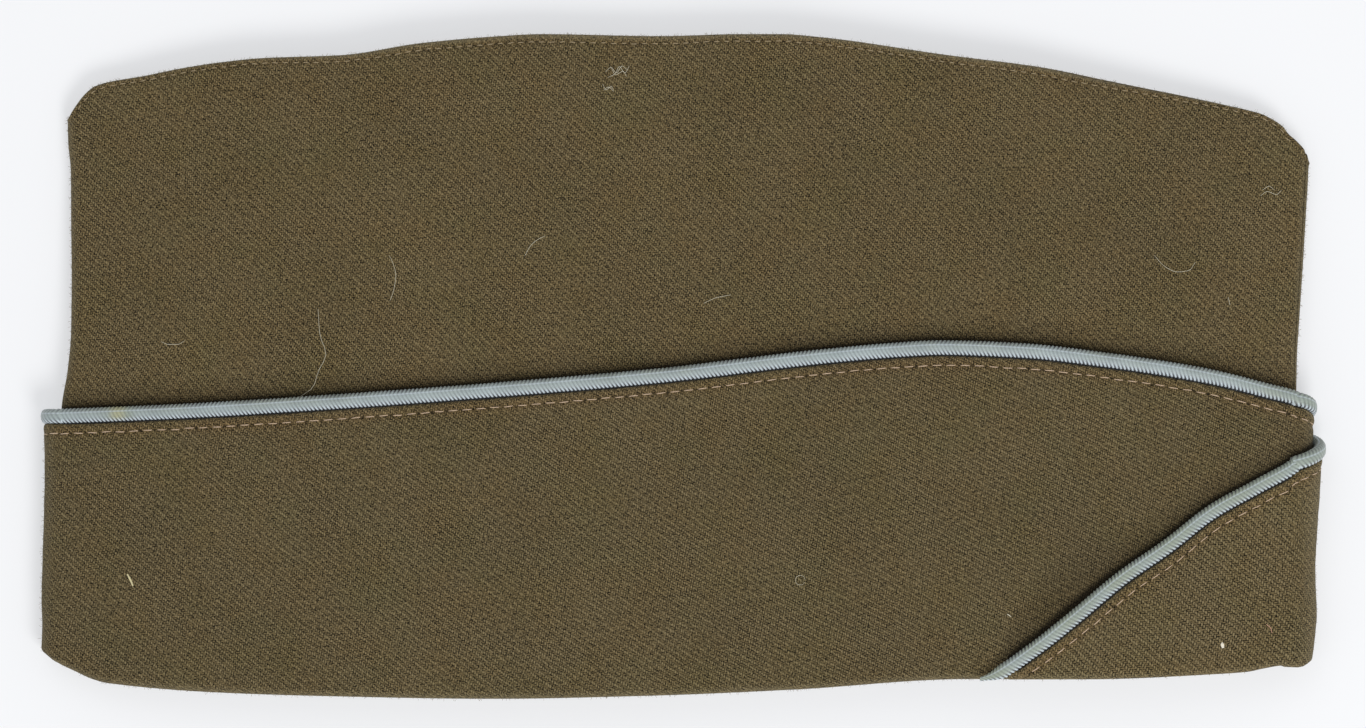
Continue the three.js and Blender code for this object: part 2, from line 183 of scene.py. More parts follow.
def up_at(share, height):
    return (height - rim_height(share)) / (top_height(share) - rim_height(share))


def peek(share):
    return LEFT_PEEK * smooth((share - 0.72) / 0.1) * smooth((0.97 - share) / 0.08)


def piping_height(side, along):
    return piping_share[side](along) * CAP_HEIGHT


def lower_level(x, up):
    along = np.clip(x / RIM_LENGTH, 0, 1)
    on_curtain = CURTAIN_INSIDE + CURTAIN_WALL + LAP_RISE * lap_at(along)
    on_piping = on_curtain + PIPING_DEPTH - CURTAIN_WALL
    piping_up = up_at(along, piping_height("left", along))
    below = mix(on_curtain, on_piping, smooth(2 * up / piping_up - 1))
    above = mix(on_piping, CROWN_FACE, smooth((up - piping_up) / (1 - piping_up)))
    return np.where(up < piping_up, below, above)


def puff(x, up):
    share = (x - crown_folds[0](up)) / (crown_folds[1](up) - crown_folds[0](up))
    across = 1 - np.minimum(1, np.abs(2 * share - 1)) ** PUFF_FLATNESS
    return mix(RIM_PUFF, TOP_PUFF, up) * across


QUARTER_TURN = (math.pi * FOLD_RADIUS) / 2 / (RIM_LENGTH + (math.pi - 2) * FOLD_RADIUS)


def along_and_round(along):
    from_fold = np.minimum(along, 1 - along)
    inner = FOLD_RADIUS / RIM_LENGTH
    straight = mix(inner, 1 - inner, (along - QUARTER_TURN) / (1 - 2 * QUARTER_TURN))
    turn = np.minimum(from_fold / QUARTER_TURN, 1) * (math.pi / 2)
    inset = FOLD_RADIUS * (1 - np.cos(turn)) / RIM_LENGTH
    turned = np.where(along < 0.5, inset, 1 - inset)
    flat = from_fold >= QUARTER_TURN
    return np.where(flat, straight, turned), np.where(flat, 1.0, np.sin(turn))


def loop_of(side, along):
    return along if side == "right" else 2 - along


def share_at(loop):
    return along_and_round(np.where(loop <= 1, loop, 2 - loop))[0]


def base_point(folds, loop, height):
    upper = loop <= 1
    share, rise = along_and_round(np.where(upper, loop, 2 - loop))
    up = up_at(share, height)
    x = mix(folds[0](up), folds[1](up), share)
    middle = lower_level(x, up) + FOLD_RADIUS
    z = np.where(upper, middle + (FOLD_RADIUS + puff(x, up)) * rise, middle - FOLD_RADIUS * rise)
    return np.stack([x, height + 0 * x, z], -1)


def unit(v):
    return v / np.linalg.norm(v, axis=-1, keepdims=True)


def round_and_out(folds, loop, height):
    probe = QUARTER_TURN / 200
    ahead = base_point(folds, loop + probe, height) - base_point(folds, loop - probe, height)
    ahead = unit(ahead)
    out = np.stack([-ahead[..., 2], 0 * ahead[..., 0], ahead[..., 0]], -1)
    return ahead, out


def place(folds, loop, height, out, setback=0.0):
    loop, height, out, setback = np.broadcast_arrays(loop, height, out, setback)
    ahead, outward = round_and_out(folds, loop, height)
    return base_point(folds, loop, height) + outward * out[..., None] + ahead * setback[..., None]


def cloth_length(loop, out):
    """How far round the cap a point of the cloth is, out of the path that the cap is drawn round."""
    back = np.clip(loop / QUARTER_TURN, 0, 1) + np.clip((loop - 2 + QUARTER_TURN) / QUARTER_TURN, 0, 1)
    front = np.clip((loop - 1 + QUARTER_TURN) / QUARTER_TURN, 0, 2)
    return loop * RIM_LENGTH + out * (back + front) * math.pi / 2


def piping_out(side, along):
    return inner_face(side, along) + PIPING_DEPTH / 2


def piping_point(side, along):
    return place(curtain_folds, loop_of(side, along), piping_height(side, along), piping_out(side, along))


def piping_direction(side, along):
    step = QUARTER_TURN / 10
    back = piping_point(side, np.maximum(along - step, 0))
    return unit(piping_point(side, along + step) - back)


def piping_slope(side, along):
    """How much a height counts square to the piping."""
    step = QUARTER_TURN / 2
    rise = piping_height(side, along + step) - piping_height(side, along - step)
    level = piping_out(side, along)
    run = cloth_length(loop_of(side, along + step), level) - cloth_length(loop_of(side, along - step), level)
    return 1 / np.hypot(1, rise / run)


# Relief of the cloth
def ripples(seed, count, shortest, longest, stretch=1.0):
    """A smooth random relief of about unit height over (u, v), from waves of many directions."""
    rng = np.random.default_rng(seed)
    angle = rng.uniform(0, math.pi, count)
    length = np.exp(rng.uniform(math.log(shortest), math.log(longest), count))
    phase = rng.uniform(0, 2 * math.pi, count)
    wave_u = 2 * math.pi * np.cos(angle) / (length * stretch)
    wave_v = 2 * math.pi * np.sin(angle) / length

    def at(u, v):
        total = 0
        for a, b, c in zip(wave_u, wave_v, phase):
            total = total + np.sin(a * u + b * v + c)
        return total / math.sqrt(count / 2) / 2

    return at


broad = ripples(11, 14, 22, 80, 1.6)
fine = ripples(12, 22, 3, 9)
wander = ripples(13, 6, 14, 60)

# Heights of the relief: soft unevenness, nap, the ridge at the edge, the groove of the stitch row, its
# dimples at the stitches, and the pucker below it with its drift
CROWN_RELIEF = dict(soft=0.32, nap=0.035, ridge=0.16, groove=0.3, dimple=0.06, pucker=0.05, drift=0.05)
CURTAIN_RELIEF = dict(soft=0.2, nap=0.03, ridge=0.14, groove=0.24, dimple=0.1, pucker=0.04, drift=0.07)
# How wide each form is, how far down it lies, and over what distance the cloth is held still at its edges
CROWN_FORMS = dict(groove=0.42, pucker=1.3, pucker_drop=1.3, still_piping=12, still_top=8, still_seam=12)
CURTAIN_FORMS = dict(ridge=0.65, ridge_drop=1.15, groove=0.45, pucker=1.5, pucker_drop=3.6, still=8)
PRESSED_BY_PIPING = dict(depth=0.5, width=1.5, over=0.9)  # the crown, just above the piping

# Visible stitches are shorter than their pitch, and the curtains were sewn with different ones.
CROWN_STITCH = dict(right=2.34, left=2.34, dash=1.55)
CURTAIN_STITCH = dict(right=3.13, left=3.38, dash=2.6)
CURTAIN_STITCH_DROP = 2.4  # below the piping's lower edge
# (along, drop below the crown's top edge)
CROWN_STITCH_DROPS = [
    (0, 0.95), (0.126, 1.1), (0.25, 1.55), (0.436, 1.8), (0.532, 1.6), (0.79, 1.6), (0.84, 1.25), (0.88, 0.9),
    (1, 0.85),
]
crown_stitch_drop = curve_through(CROWN_STITCH_DROPS, 1)


def crown_top_at(side, along):
    share = share_at(loop_of(side, along))
    return top_height(share) + peek(share) * (1 if side == "left" else RIGHT_PEEK_SHARE)


def top_steepness(side, along):
    """How much a height counts square to the top edge."""
    step = 0.0008
    rise = crown_top_at(side, along + step) - crown_top_at(side, along - step)
    return 1 / np.sqrt(1 + (rise / (2 * step * RIM_LENGTH)) ** 2)


def crown_stitch_height(side, along):
    return crown_top_at(side, along) - crown_stitch_drop(along) / top_steepness(side, along)


def curtain_stitch_height(side, along):
    drop = PIPING_WIDTH / 2 + CURTAIN_STITCH_DROP
    return piping_height(side, along) - drop / piping_slope(side, along)


def length_along(height_at, face_at, side):
    """The length along a line on the cloth, up to each place along the cap."""
    along = np.linspace(0, LAP_ENDS, 3000)
    height = height_at(side, along)
    level = cloth_length(loop_of(side, along), face_at(side, along))
    return along, np.concatenate(([0], np.cumsum(np.hypot(np.diff(level), np.diff(height)))))


def crown_face(side, along):
    return CROWN_FACE + 0 * along


def curtain_face(side, along):
    return inner_face(side, along) + CURTAIN_WALL


def lengths_of(height_at, face_at):
    return {side: length_along(height_at, face_at, side) for side in ("right", "left")}


crown_lengths = lengths_of(crown_stitch_height, crown_face)
curtain_lengths = lengths_of(curtain_stitch_height, curtain_face)


def stitch_number(lengths, along, pitch):
    """A whole number at each needle hole of the row."""
    return np.interp(along, *lengths) / pitch


def stitch_wave(lengths, along, pitch):
    """1 where the needle went through, -1 in the middle of a stitch."""
    return np.cos(2 * math.pi * stitch_number(lengths, along, pitch))


# How far a place is from the edges beside it, square to them and in millimetres
def below_top(side, along, height):
    return (crown_top_at(side, along) - height) * top_steepness(side, along)


def below_piping(side, along, height):
    return (piping_height(side, along) - height) * piping_slope(side, along) - PIPING_WIDTH / 2


def over_piping(side, along, height):
    return (height - piping_height(side, along)) * piping_slope(side, along) - PIPING_WIDTH / 2


def from_folds(along):
    return np.minimum(along, np.abs(1 - along)) * RIM_LENGTH


def crown_relief(side, along, height, out):
    u, v = along * RIM_LENGTH, height
    drop = below_top(side, along, height)
    over = height - piping_height(side, along)
    from_seam = from_folds(along)
    heights, forms, pressed = CROWN_RELIEF, CROWN_FORMS, PRESSED_BY_PIPING
    free = smooth((over - 2.5) / forms["still_piping"]) * smooth((drop - 1) / forms["still_top"])
    free = free * smooth(from_seam / forms["still_seam"])
    # The edge is stitched through: a rounded ridge, then a groove with a pucker at each stitch.
    row_drop = crown_stitch_drop(along)
    wave = stitch_wave(crown_lengths[side], along, CROWN_STITCH[side])
    groove = bell(drop - row_drop - 0.06 * wander(u, 0), forms["groove"])
    below = bell(drop - row_drop - forms["pucker_drop"], forms["pucker"])
    off_seam = smooth(from_seam / 3)
    return (
        free * (heights["soft"] * broad(u, v) + heights["nap"] * fine(u, v))
        + heights["ridge"] * bell(drop - 0.47 * row_drop, 0.35 * row_drop)
        - (heights["groove"] + heights["dimple"] * wave) * groove * off_seam
        + (heights["pucker"] * wave + heights["drift"] * wander(u, 7)) * below
        - pressed["depth"] * bell(over - pressed["over"], pressed["width"]) * off_seam
    )


def curtain_relief(side, along, height, out):
    u, v = along * RIM_LENGTH, height
    drop = below_piping(side, along, height)
    over = height - rim_height(share_at(loop_of(side, along)))
    wave = stitch_wave(curtain_lengths[side], along, CURTAIN_STITCH[side])
    on_face = smooth((out - inner_face(side, along)) / CURTAIN_WALL)
    off_seam = smooth(along * RIM_LENGTH / 4)
    heights, forms = CURTAIN_RELIEF, CURTAIN_FORMS
    free = smooth((drop - 3) / forms["still"]) * smooth((over - 2) / forms["still"])
    groove = bell(drop - CURTAIN_STITCH_DROP, forms["groove"])
    below = bell(drop - forms["pucker_drop"], forms["pucker"])
    relief = (
        heights["soft"] * broad(u + 40, v) * free
        + heights["nap"] * fine(u, v) * smooth((drop - 3) / 3)
        + heights["ridge"] * bell(drop - forms["ridge_drop"], forms["ridge"])
        - (heights["groove"] + heights["dimple"] * wave) * groove * off_seam
        + (heights["pucker"] * wave + heights["drift"] * wander(u, 30)) * below
    )
    return relief * on_face


def no_relief(side, along, height, out):
    return 0 * out


FAR_OFF = 99  # from a stitch row or a piping, so that neither marks the cloth
SHADE_GROWS = dict(by=1.3, at=1.19, width=0.04)  # the shade over the diagonal piping is widest near its tip
SHADE_FADES = 0.03  # past the piping's end


def crown_marks(side, along, height):
    """How rubbed the crown is, how pale (partly rubbed pale, partly painted light on its edges), where a
    point lies along and beside its stitch row, and how far it is over the piping, where it gets painted
    shade."""
    drop = below_top(side, along, height)
    over = over_piping(side, along, height)
    from_seam = from_folds(along)
    row_drop = crown_stitch_drop(along)
    rubbed = 0.35 * smooth((row_drop + 0.6 - drop) / 0.8)
    pale = np.maximum(smooth((0.8 * row_drop - drop) / 1.1), 0.6 * smooth((2.6 - from_seam) / 2))
    return rubbed, pale, stitch_number(crown_lengths[side], along, CROWN_STITCH[side]), drop - row_drop, over


def curtain_marks(side, along, height):
    loop = loop_of(side, along)
    drop = below_piping(side, along, height)
    rubbed = bell(drop - CURTAIN_STITCH_DROP + 0.3, 1.5)
    over_rim = height - rim_height(share_at(loop))
    # paler by the rim and the folds: partly rubbed pale, partly painted light
    pale = 0.5 * np.maximum(smooth((1.8 - over_rim) / 1.5), smooth((2.4 - from_folds(along)) / 2))
    # The right curtain also gets painted shade from the left piping, which lies on it.
    over = FAR_OFF + 0 * height
    if side == "right":
        other = 2 - loop
        over = over_piping("left", other, height)
        nearer = 1 + SHADE_GROWS["by"] * bell(other - SHADE_GROWS["at"], SHADE_GROWS["width"])
        over = np.where(over > -1, over / nearer, over)
        over = over + 20 * smooth((other - LAP_ENDS + SHADE_FADES / 2.5) / SHADE_FADES)
        over = np.where(other < LAP_ENDS + SHADE_FADES, over, FAR_OFF)
    number = stitch_number(curtain_lengths[side], along, CURTAIN_STITCH[side])
    return rubbed, pale, number, drop - CURTAIN_STITCH_DROP, over


def no_marks(side, along, height):
    nothing, far = 0 * height, FAR_OFF + 0 * height
    return nothing, nothing, nothing, far, far


# (place round the cap, degrees that the right curtain's weave is turned there)
RIGHT_GRAIN = [
    (0, 1), (0.1, 2.4), (0.27, 4), (0.43, 6.4), (0.51, 8.2), (0.59, 9.8), (0.67, 12), (0.8, 12.3), (1, 13),
]
LEFT_GRAIN = 2.5
LEFT_COARSENESS = 1.13  # the left curtain's weave shows larger where it laps
right_grain = curve_through(RIGHT_GRAIN, 1)


def straight_grain(side, loop):
    return 0 * loop


def curtain_grain(side, loop):
    """The right curtain is cut so that its weave turns more and more towards the front of the cap."""
    return right_grain(loop) if side == "right" else LEFT_GRAIN + 0 * loop


def weave_sunk(side, loop, grain_angle):
    """How far the yarns that run round the cap have sunk by each place, as their turn adds up."""
    at = np.linspace(0, 2, 800)
    slope = np.tan(np.radians(grain_angle(side, at)))
    steps = (slope[1:] + slope[:-1]) / 2 * np.diff(at) * RIM_LENGTH
    return np.interp(loop, at, np.concatenate(([0], np.cumsum(steps))))


# Meshes
SHARP_FROM = 62  # degrees between two faces


def make_object(name, points, faces, material, **attributes):
    points = np.array(points)
    points[:, 2] = np.maximum(points[:, 2], FLOOR_EASE)
    mesh = bpy.data.meshes.new(name)
    mesh.from_pydata((points * MM).tolist(), [], faces)
    mesh.validate()
    for key, values in attributes.items():
        layer = mesh.attributes.new(key, "FLOAT_VECTOR", "POINT")
        layer.data.foreach_set("vector", np.asarray(values, np.float32).ravel())
    mesh.polygons.foreach_set("use_smooth", np.ones(len(mesh.polygons), bool))
    mesh.set_sharp_from_angle(angle=math.radians(SHARP_FROM))
    mesh.materials.append(material)
    mesh.update()
    made = bpy.data.objects.new(name, mesh)
    bpy.context.scene.collection.objects.link(made)
    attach(made, "root")
    return made


def ladder(first, second, first_at, second_at):
    """Triangles between two chains of point numbers, by how far up each point is."""
    triangles = []
    i = j = 0
    while i + 1 < len(first) or j + 1 < len(second):
        take_first = j + 1 == len(second) or (i + 1 < len(first) and first_at[i + 1] <= second_at[j + 1])
        if take_first:
            triangles.append((first[i], first[i + 1], second[j]))
            i += 1
        else:
            triangles.append((first[i], second[j + 1], second[j]))
            j += 1
    return triangles


def band_faces(rings, around, tubes=1):
    """Four-sided faces between the neighbouring rings of one tube, or of several."""
    first = (np.arange(tubes) * rings * around)[:, None, None]
    start = first + (np.arange(rings - 1) * around)[None, :, None]
    here = np.arange(around)[None, None, :]
    ahead = (here + 1) % around
    quads = np.stack([start + here, start + ahead, start + around + ahead, start + around + here], -1)
    return quads.reshape(-1, 4).tolist()


def tube_faces(rings, around, tubes=1):
    """The same, and the faces that close both ends of each tube."""
    faces = band_faces(rings, around, tubes)
    for tube in range(tubes):
        first = tube * rings * around
        last = first + (rings - 1) * around
        faces.append(tuple(range(first + around - 1, first - 1, -1)))
        faces.append(tuple(range(last, last + around)))
    return faces


def loft_faces(count, around, outer_count, heights_first, heights_last):
    """Faces of a closed solid through count sections of around points each. The first outer_count points of a
    section go up one face of the cloth and the rest down the other."""
    faces = band_faces(count, around)
    for base, heights, flip in ((0, heights_first, True), ((count - 1) * around, heights_last, False)):
        outer = list(range(outer_count))
        inner = list(range(around - 1, outer_count - 1, -1))
        steps = ladder(outer, inner, [heights[k] for k in outer], [heights[k] for k in inner])
        for a, b, c in steps:
            faces.append((base + a, base + c, base + b) if flip else (base + a, base + b, base + c))
    return faces


def signed_volume(points, faces):
    total = 0.0
    quads = np.array([face for face in faces if len(face) == 4])
    for corners in ((0, 1, 2), (0, 2, 3)):
        a, b, c = (points[quads[:, k]] for k in corners)
        total += np.einsum("ij,ij->i", a, np.cross(b, c)).sum()
    return total


def facing_out(points, faces):
    return [face[::-1] for face in faces] if signed_volume(points, faces) < 0 else faces


def cloth_object(
    name, node, folds, side, along, outer, inner, relief, material, marks, grain_angle, seams=(), coarse=0.0
):
    """A cloth piece lofted along the cap. outer and inner are [out, height] arrays of one row for each
    place, from the bottom up. marks gives what its colour depends on, grain_angle how its weave is turned, in
    degrees, and coarse is 1 where its weave shows larger."""
    along = along[:, None]
    section = np.concatenate([outer, inner[:, ::-1]], axis=1)
    out, height = section[..., 0], section[..., 1]
    loop = loop_of(side, along) + 0 * out
    turn = 1 if side == "right" else -1
    setback = np.zeros_like(out)
    if "back" in seams:
        setback[0] = turn * SEAM_EASE / 2
    if "front" in seams:
        setback[-1] = -turn * SEAM_EASE / 2
    lift = relief(side, along + 0 * out, height, out)
    points = place(folds, loop, height, out + lift, setback)
    count, around = out.shape
    flat = points.reshape(-1, 3) + ORIGIN
    faces = facing_out(flat, loft_faces(count, around, outer.shape[1], height[0], height[-1]))
    u = cloth_length(loop, out)
    lean = np.tan(np.radians(grain_angle(side, loop)))
    middle = CAP_HEIGHT / 4
    sunk = weave_sunk(side, loop, grain_angle)
    cloth = np.stack([u + (height - middle) * lean, height - sunk, 0 * u], -1).reshape(-1, 3)
    rubbed, pale, row, beside, over = marks(side, along + 0 * out, height)
    rows = np.stack([row, beside, over], -1).reshape(-1, 3)
    cloth /= mix(1, LEFT_COARSENESS, coarse)
    wear = np.stack([rubbed, pale, coarse + 0 * pale], -1).reshape(-1, 3)
    made = make_object(name, flat, faces, material, cloth=cloth, rows=rows, wear=wear)
    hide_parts(node)
    return made


# Materials
def linear(red, green, blue):
    """A colour given by its screen values from 0 to 255, as Blender's linear one."""
    values = []
    for value in (red / 255, green / 255, blue / 255):
        values.append(value / 12.92 if value <= 0.04045 else ((value + 0.055) / 1.055) ** 2.4)
    return (*values, 1.0)


def set_inputs(node, values):
    for key, value in values.items():
        node.inputs[key].default_value = value


class Nodes:
    """Short ways to add nodes to a tree and to join them. In the materials below, n is one of these."""

    def __init__(self, tree):
        self.tree = tree

    def add(self, kind, **settings):
        node = self.tree.nodes.new("ShaderNode" + kind)
        for key, value in settings.items():
            setattr(node, key, value)
        return node

    def join(self, source, target):
        self.tree.links.new(source, target)

    def feed(self, socket, value):
        if isinstance(value, bpy.types.NodeSocket):
            self.join(value, socket)
        else:
            socket.default_value = value

    def math(self, operation, *values, clamp=False):
        node = self.add("Math", operation=operation, use_clamp=clamp)
        for socket, value in zip(node.inputs, values):
            self.feed(socket, value)
        return node.outputs[0]

    def vector(self, operation, *values, scale=None):
        node = self.add("VectorMath", operation=operation)
        for socket, value in zip(node.inputs, values):
            self.feed(socket, value)
        if scale is not None:
            self.feed(node.inputs["Scale"], scale)
        return node.outputs["Vector"]

    def attribute(self, name):
        return self.add("Attribute", attribute_name=name).outputs["Vector"]

    def parts(self, vector):
        node = self.add("SeparateXYZ")
        self.join(vector, node.inputs[0])
        return node.outputs

    def noise(self, vector, size, detail=2.0, roughness=0.5, colour=False):
        node = self.add("TexNoise")
        self.feed(node.inputs["Vector"], vector)
        set_inputs(node, {"Scale": 1 / size, "Detail": detail, "Roughness": roughness})
        return node.outputs["Color" if colour else "Fac"]

    def between(self, value, low, high, to_low=0.0, to_high=1.0, smooth_steps=False):
        """value, from low to high, as to_low to to_high."""
        node = self.add("MapRange")
        if smooth_steps:
            node.interpolation_type = "SMOOTHSTEP"
        for key, given in (
            ("Value", value), ("From Min", low), ("From Max", high), ("To Min", to_low), ("To Max", to_high)
        ):
            self.feed(node.inputs[key], given)
        return node.outputs[0]

    def moved(self, value, source, middle, amount):
        """value, moved by a source that varies about its middle."""
        return self.math("MULTIPLY_ADD", self.math("SUBTRACT", source, middle), amount, value)

    def mixed(self, share, first, second, blend="MIX"):
        node = self.add("Mix", data_type="RGBA", blend_type=blend)
        self.feed(node.inputs["Factor"], share)
        self.feed(node.inputs["A"], first)
        self.feed(node.inputs["B"], second)
        return node.outputs["Result"]

    def bump(self, height, strength):
        """Relief whose height is given in millimetres."""
        node = self.add("Bump")
        set_inputs(node, {"Strength": strength, "Distance": MM})
        self.join(height, node.inputs["Height"])
        return node.outputs["Normal"]


def new_material(name):
    material = bpy.data.materials.new(name)
    material.use_nodes = True
    tree = material.node_tree
    return material, Nodes(tree), tree.nodes["Principled BSDF"]


WARP_SPACING = 0.457  # between the yarns that run up the cloth
WEFT_SPACING = 0.397
YARNS_IN_REPEAT = 4


def twill(n, cloth):
    """A two-and-two twill, whose ribs fall to the right: how high its surface is and whether the warp is on
    top, both from 0 to 1. Each yarn floats over two others."""
    cloth_x, cloth_y = n.parts(cloth)[0:2]
    x = n.math("DIVIDE", cloth_x, WARP_SPACING)
    y = n.math("DIVIDE", cloth_y, WEFT_SPACING)
    in_x, in_y = n.math("FRACT", x), n.math("FRACT", y)
    crossing = n.math("ADD", n.math("FLOOR", x), n.math("FLOOR", y))
    repeat = n.math("FLOORED_MODULO", n.math("ADD", crossing, 0.5), float(YARNS_IN_REPEAT))
    repeat = n.math("FLOOR", repeat)
    warp = n.math("LESS_THAN", repeat, 1.5)
    along_warp = n.math("MULTIPLY", n.math("ADD", repeat, in_y), 0.5)
    along_weft = n.math("MULTIPLY", n.math("ADD", n.math("SUBTRACT", repeat, 2.0), in_x), 0.5)
    along = n.between(warp, 0.0, 1.0, along_weft, along_warp)
    across = n.between(warp, 0.0, 1.0, in_y, in_x)
    hump = n.math("SINE", n.math("MULTIPLY", along, math.pi))
    yarn = n.math("SINE", n.math("MULTIPLY", across, math.pi))
    return n.math("POWER", n.math("MULTIPLY", hump, yarn), 0.6), warp


# (size in millimetres, detail, roughness) of the serge's unevenness
SERGE_NOISE = dict(
    bend=(7, 2), shake=(0.8, 2), yarn=(0.5, 3, 0.7), clumps=(1.4, 3, 0.6), patches=(24, 2, 0.5),
    clear=(14, 2, 0.5), browner=(11, 3, 0.6), greener=(16, 3, 0.6), nap=(0.5, 4, 0.7), holes=(2.2, 1),
)
YARNS_WANDER = dict(bend=0.9, shake=0.32)
SERGE_TONE = dict(middle=0.55, coarse=0.09, yarn=4.7, clumps=1.3, patches=0.3)
SERGE_BUMP = dict(twill=0.17, yarn=0.3, strength=0.8)
SERGE_SHADER = {
    "Roughness": 0.95, "Specular IOR Level": 0.12, "Sheen Weight": 0.1, "Sheen Roughness": 0.45,
    "Sheen Tint": (0.75, 0.7, 0.55, 1),
}
# painted shade in the hollows between the yarns
SHADE_BETWEEN_YARNS = linear(8, 6, 3)
LIT_NAP = linear(150, 139, 108)
# partly rubbed pale, partly painted light on the cloth's edges
PALE_WEAR_AND_LIGHT = linear(142, 132, 105)
# painted shade of needle holes, of the crevice under a piping and of the shadow beside it
PAINTED_SHADE = linear(14, 11, 8)
BROWNER = (1.0, 0.93, 0.82, 1)
GREENER = (0.9, 0.97, 0.88, 1)
RUBBED = (1.12, 0.93, 0.82, 1)
HOLES_DRAWN_OUT = 0.85  # below 1, the dark round a needle hole is longer along the row


def serge(name, weft, warp, pitch, hole_depth):
    """Wool serge. weft and warp are its yarns' colours by their screen values, pitch is that of its stitch
    row, and hole_depth how dark its needle holes may be."""
    material, n, shader = new_material(name)
    cloth = n.attribute("cloth")
    bent = cloth
    for key, far in YARNS_WANDER.items():
        way = n.vector("SUBTRACT", n.noise(cloth, *SERGE_NOISE[key], colour=True), (0.5, 0.5, 0.5))
        bent = n.vector("ADD", bent, n.vector("SCALE", way, scale=far))
    height, warp_up = twill(n, bent)
    yarn = n.noise(cloth, *SERGE_NOISE["yarn"])
    rubbed, pale, coarse = n.parts(n.attribute("wear"))
    # The wale shows more in some places and is lost in the nap in others.
    clear = n.between(n.noise(cloth, *SERGE_NOISE["clear"]), 0.35, 0.65, 1.1, 1.8)
    clear = n.math("MULTIPLY_ADD", coarse, 0.35, clear)
    # Painted light and shade of the weave: its humps lighter, its hollows darker, with random yarn tone
    # added.
    tone = n.moved(SERGE_TONE["middle"], height, SERGE_TONE["middle"], clear)
    tone = n.math("MULTIPLY_ADD", coarse, SERGE_TONE["coarse"], tone)
    tone = n.moved(tone, yarn, 0.5, SERGE_TONE["yarn"])
    for key in ("clumps", "patches"):
        tone = n.moved(tone, n.noise(cloth, *SERGE_NOISE[key]), 0.5, SERGE_TONE[key])
    thread = n.mixed(n.between(warp_up, 0.0, 1.0, 0.2, 0.8), linear(*weft), linear(*warp))
    colour = n.mixed(n.between(tone, -0.35, 1.35), SHADE_BETWEEN_YARNS, thread)
    # Some places are a little browner and some a little greener.
    browner = n.between(n.noise(cloth, *SERGE_NOISE["browner"]), 0.42, 0.65, 0.0, 0.5)
    colour = n.mixed(browner, colour, BROWNER, "MULTIPLY")
    elsewhere = n.vector("ADD", cloth, (57.0, 31.0, 0.0))
    greener = n.between(n.noise(elsewhere, *SERGE_NOISE["greener"]), 0.45, 0.68, 0.0, 0.5)
    colour = n.mixed(greener, colour, GREENER, "MULTIPLY")
    # Single fibres of the nap catch the light: painted highlights.
    stretched = n.vector("MULTIPLY", cloth, (1.0, 2.6, 1.0))
    nap = n.between(n.noise(stretched, *SERGE_NOISE["nap"]), 0.6, 0.74)
    colour = n.mixed(n.math("MULTIPLY", nap, 0.35), colour, LIT_NAP)
    # Beside a row of stitching the cloth is rubbed and a little redder; its edges are paler, partly rubbed
    # pale and partly painted light on the rolled edges.
    colour = n.mixed(n.math("MULTIPLY", rubbed, 0.42), colour, RUBBED, "MULTIPLY")
    pale = n.math("MULTIPLY", pale, n.between(yarn, 0.35, 0.65, 0.15, 0.6))
    colour = n.mixed(pale, colour, PALE_WEAR_AND_LIGHT)
    # Painted shade: each needle hole is dark, and so is the crevice where the cloth goes under a piping,
    # with a painted shadow fading over the cloth beyond it.
    along_row, beside, over = n.parts(n.attribute("rows"))
    from_hole = n.math("MULTIPLY", n.math("PINGPONG", along_row, 0.5), HOLES_DRAWN_OUT * pitch)
    far = n.math("SQRT", n.math("MULTIPLY_ADD", from_hole, from_hole, n.math("POWER", beside, 2.0)))
    depth = n.between(n.noise(cloth, *SERGE_NOISE["holes"]), 0.4, 0.62, 0.15, hole_depth)
    hole = n.math("MULTIPLY", n.between(far, 0.12, 0.46, 1.0, 0.0), depth)
    crevice = n.between(over, 0.1, 1.5, 0.85, 0.0, smooth_steps=True)
    painted_shadow = n.between(over, 0.5, 7.0, 0.3, 0.0, smooth_steps=True)
    under = n.between(over, -1.6, -1.0, 0.0, 1.0)
    painted_shadow = n.math("MULTIPLY", n.math("MAXIMUM", crevice, painted_shadow), under)
    colour = n.mixed(n.math("MAXIMUM", hole, painted_shadow), colour, PAINTED_SHADE)
    n.join(colour, shader.inputs["Base Color"])
    relief = n.math("MULTIPLY_ADD", height, SERGE_BUMP["twill"], n.math("MULTIPLY", yarn, SERGE_BUMP["yarn"]))
    n.join(n.bump(relief, SERGE_BUMP["strength"]), shader.inputs["Normal"])
    set_inputs(shader, SERGE_SHADER)
    return material


BRAID_PITCH = 0.9  # between its ribs
BRAID_WAVE = 2 * math.pi / BRAID_PITCH
BRAID_SPINE = 0.36  # where its ribs meet, as a share of the half width towards the crown
BRAID_SLANT = 6.4  # how much the ribs lean, as a chevron that points to the back of the cap
# (size in millimetres, detail, roughness) of the cord's unevenness
CORD_NOISE = dict(
    fibres=(0.16, 3, 0.6), bright=(5, 2), dull=(4, 3), patches=(12, 3, 0.6), green=(8, 2), edge=(9, 2),
)
CORD_BRIGHT = (linear(180, 193, 196), linear(156, 170, 171))
CORD_DULL = (linear(118, 126, 118), linear(144, 152, 138))
CORD_GREEN = linear(146, 156, 138)
CORD_YELLOW = linear(178, 174, 124)
# a lighter strand, and the painted highlight on the ribs' ends
CORD_STRAND_AND_HIGHLIGHT = linear(208, 220, 230)
# painted shade between the ribs
CORD_GAP_SHADE = linear(62, 58, 70)
CORD_BUMP = dict(fibres=0.06, strength=0.7)
CORD_SHADER = {"Roughness": 0.45, "Specular IOR Level": 0.45, "Sheen Weight": 0.15}


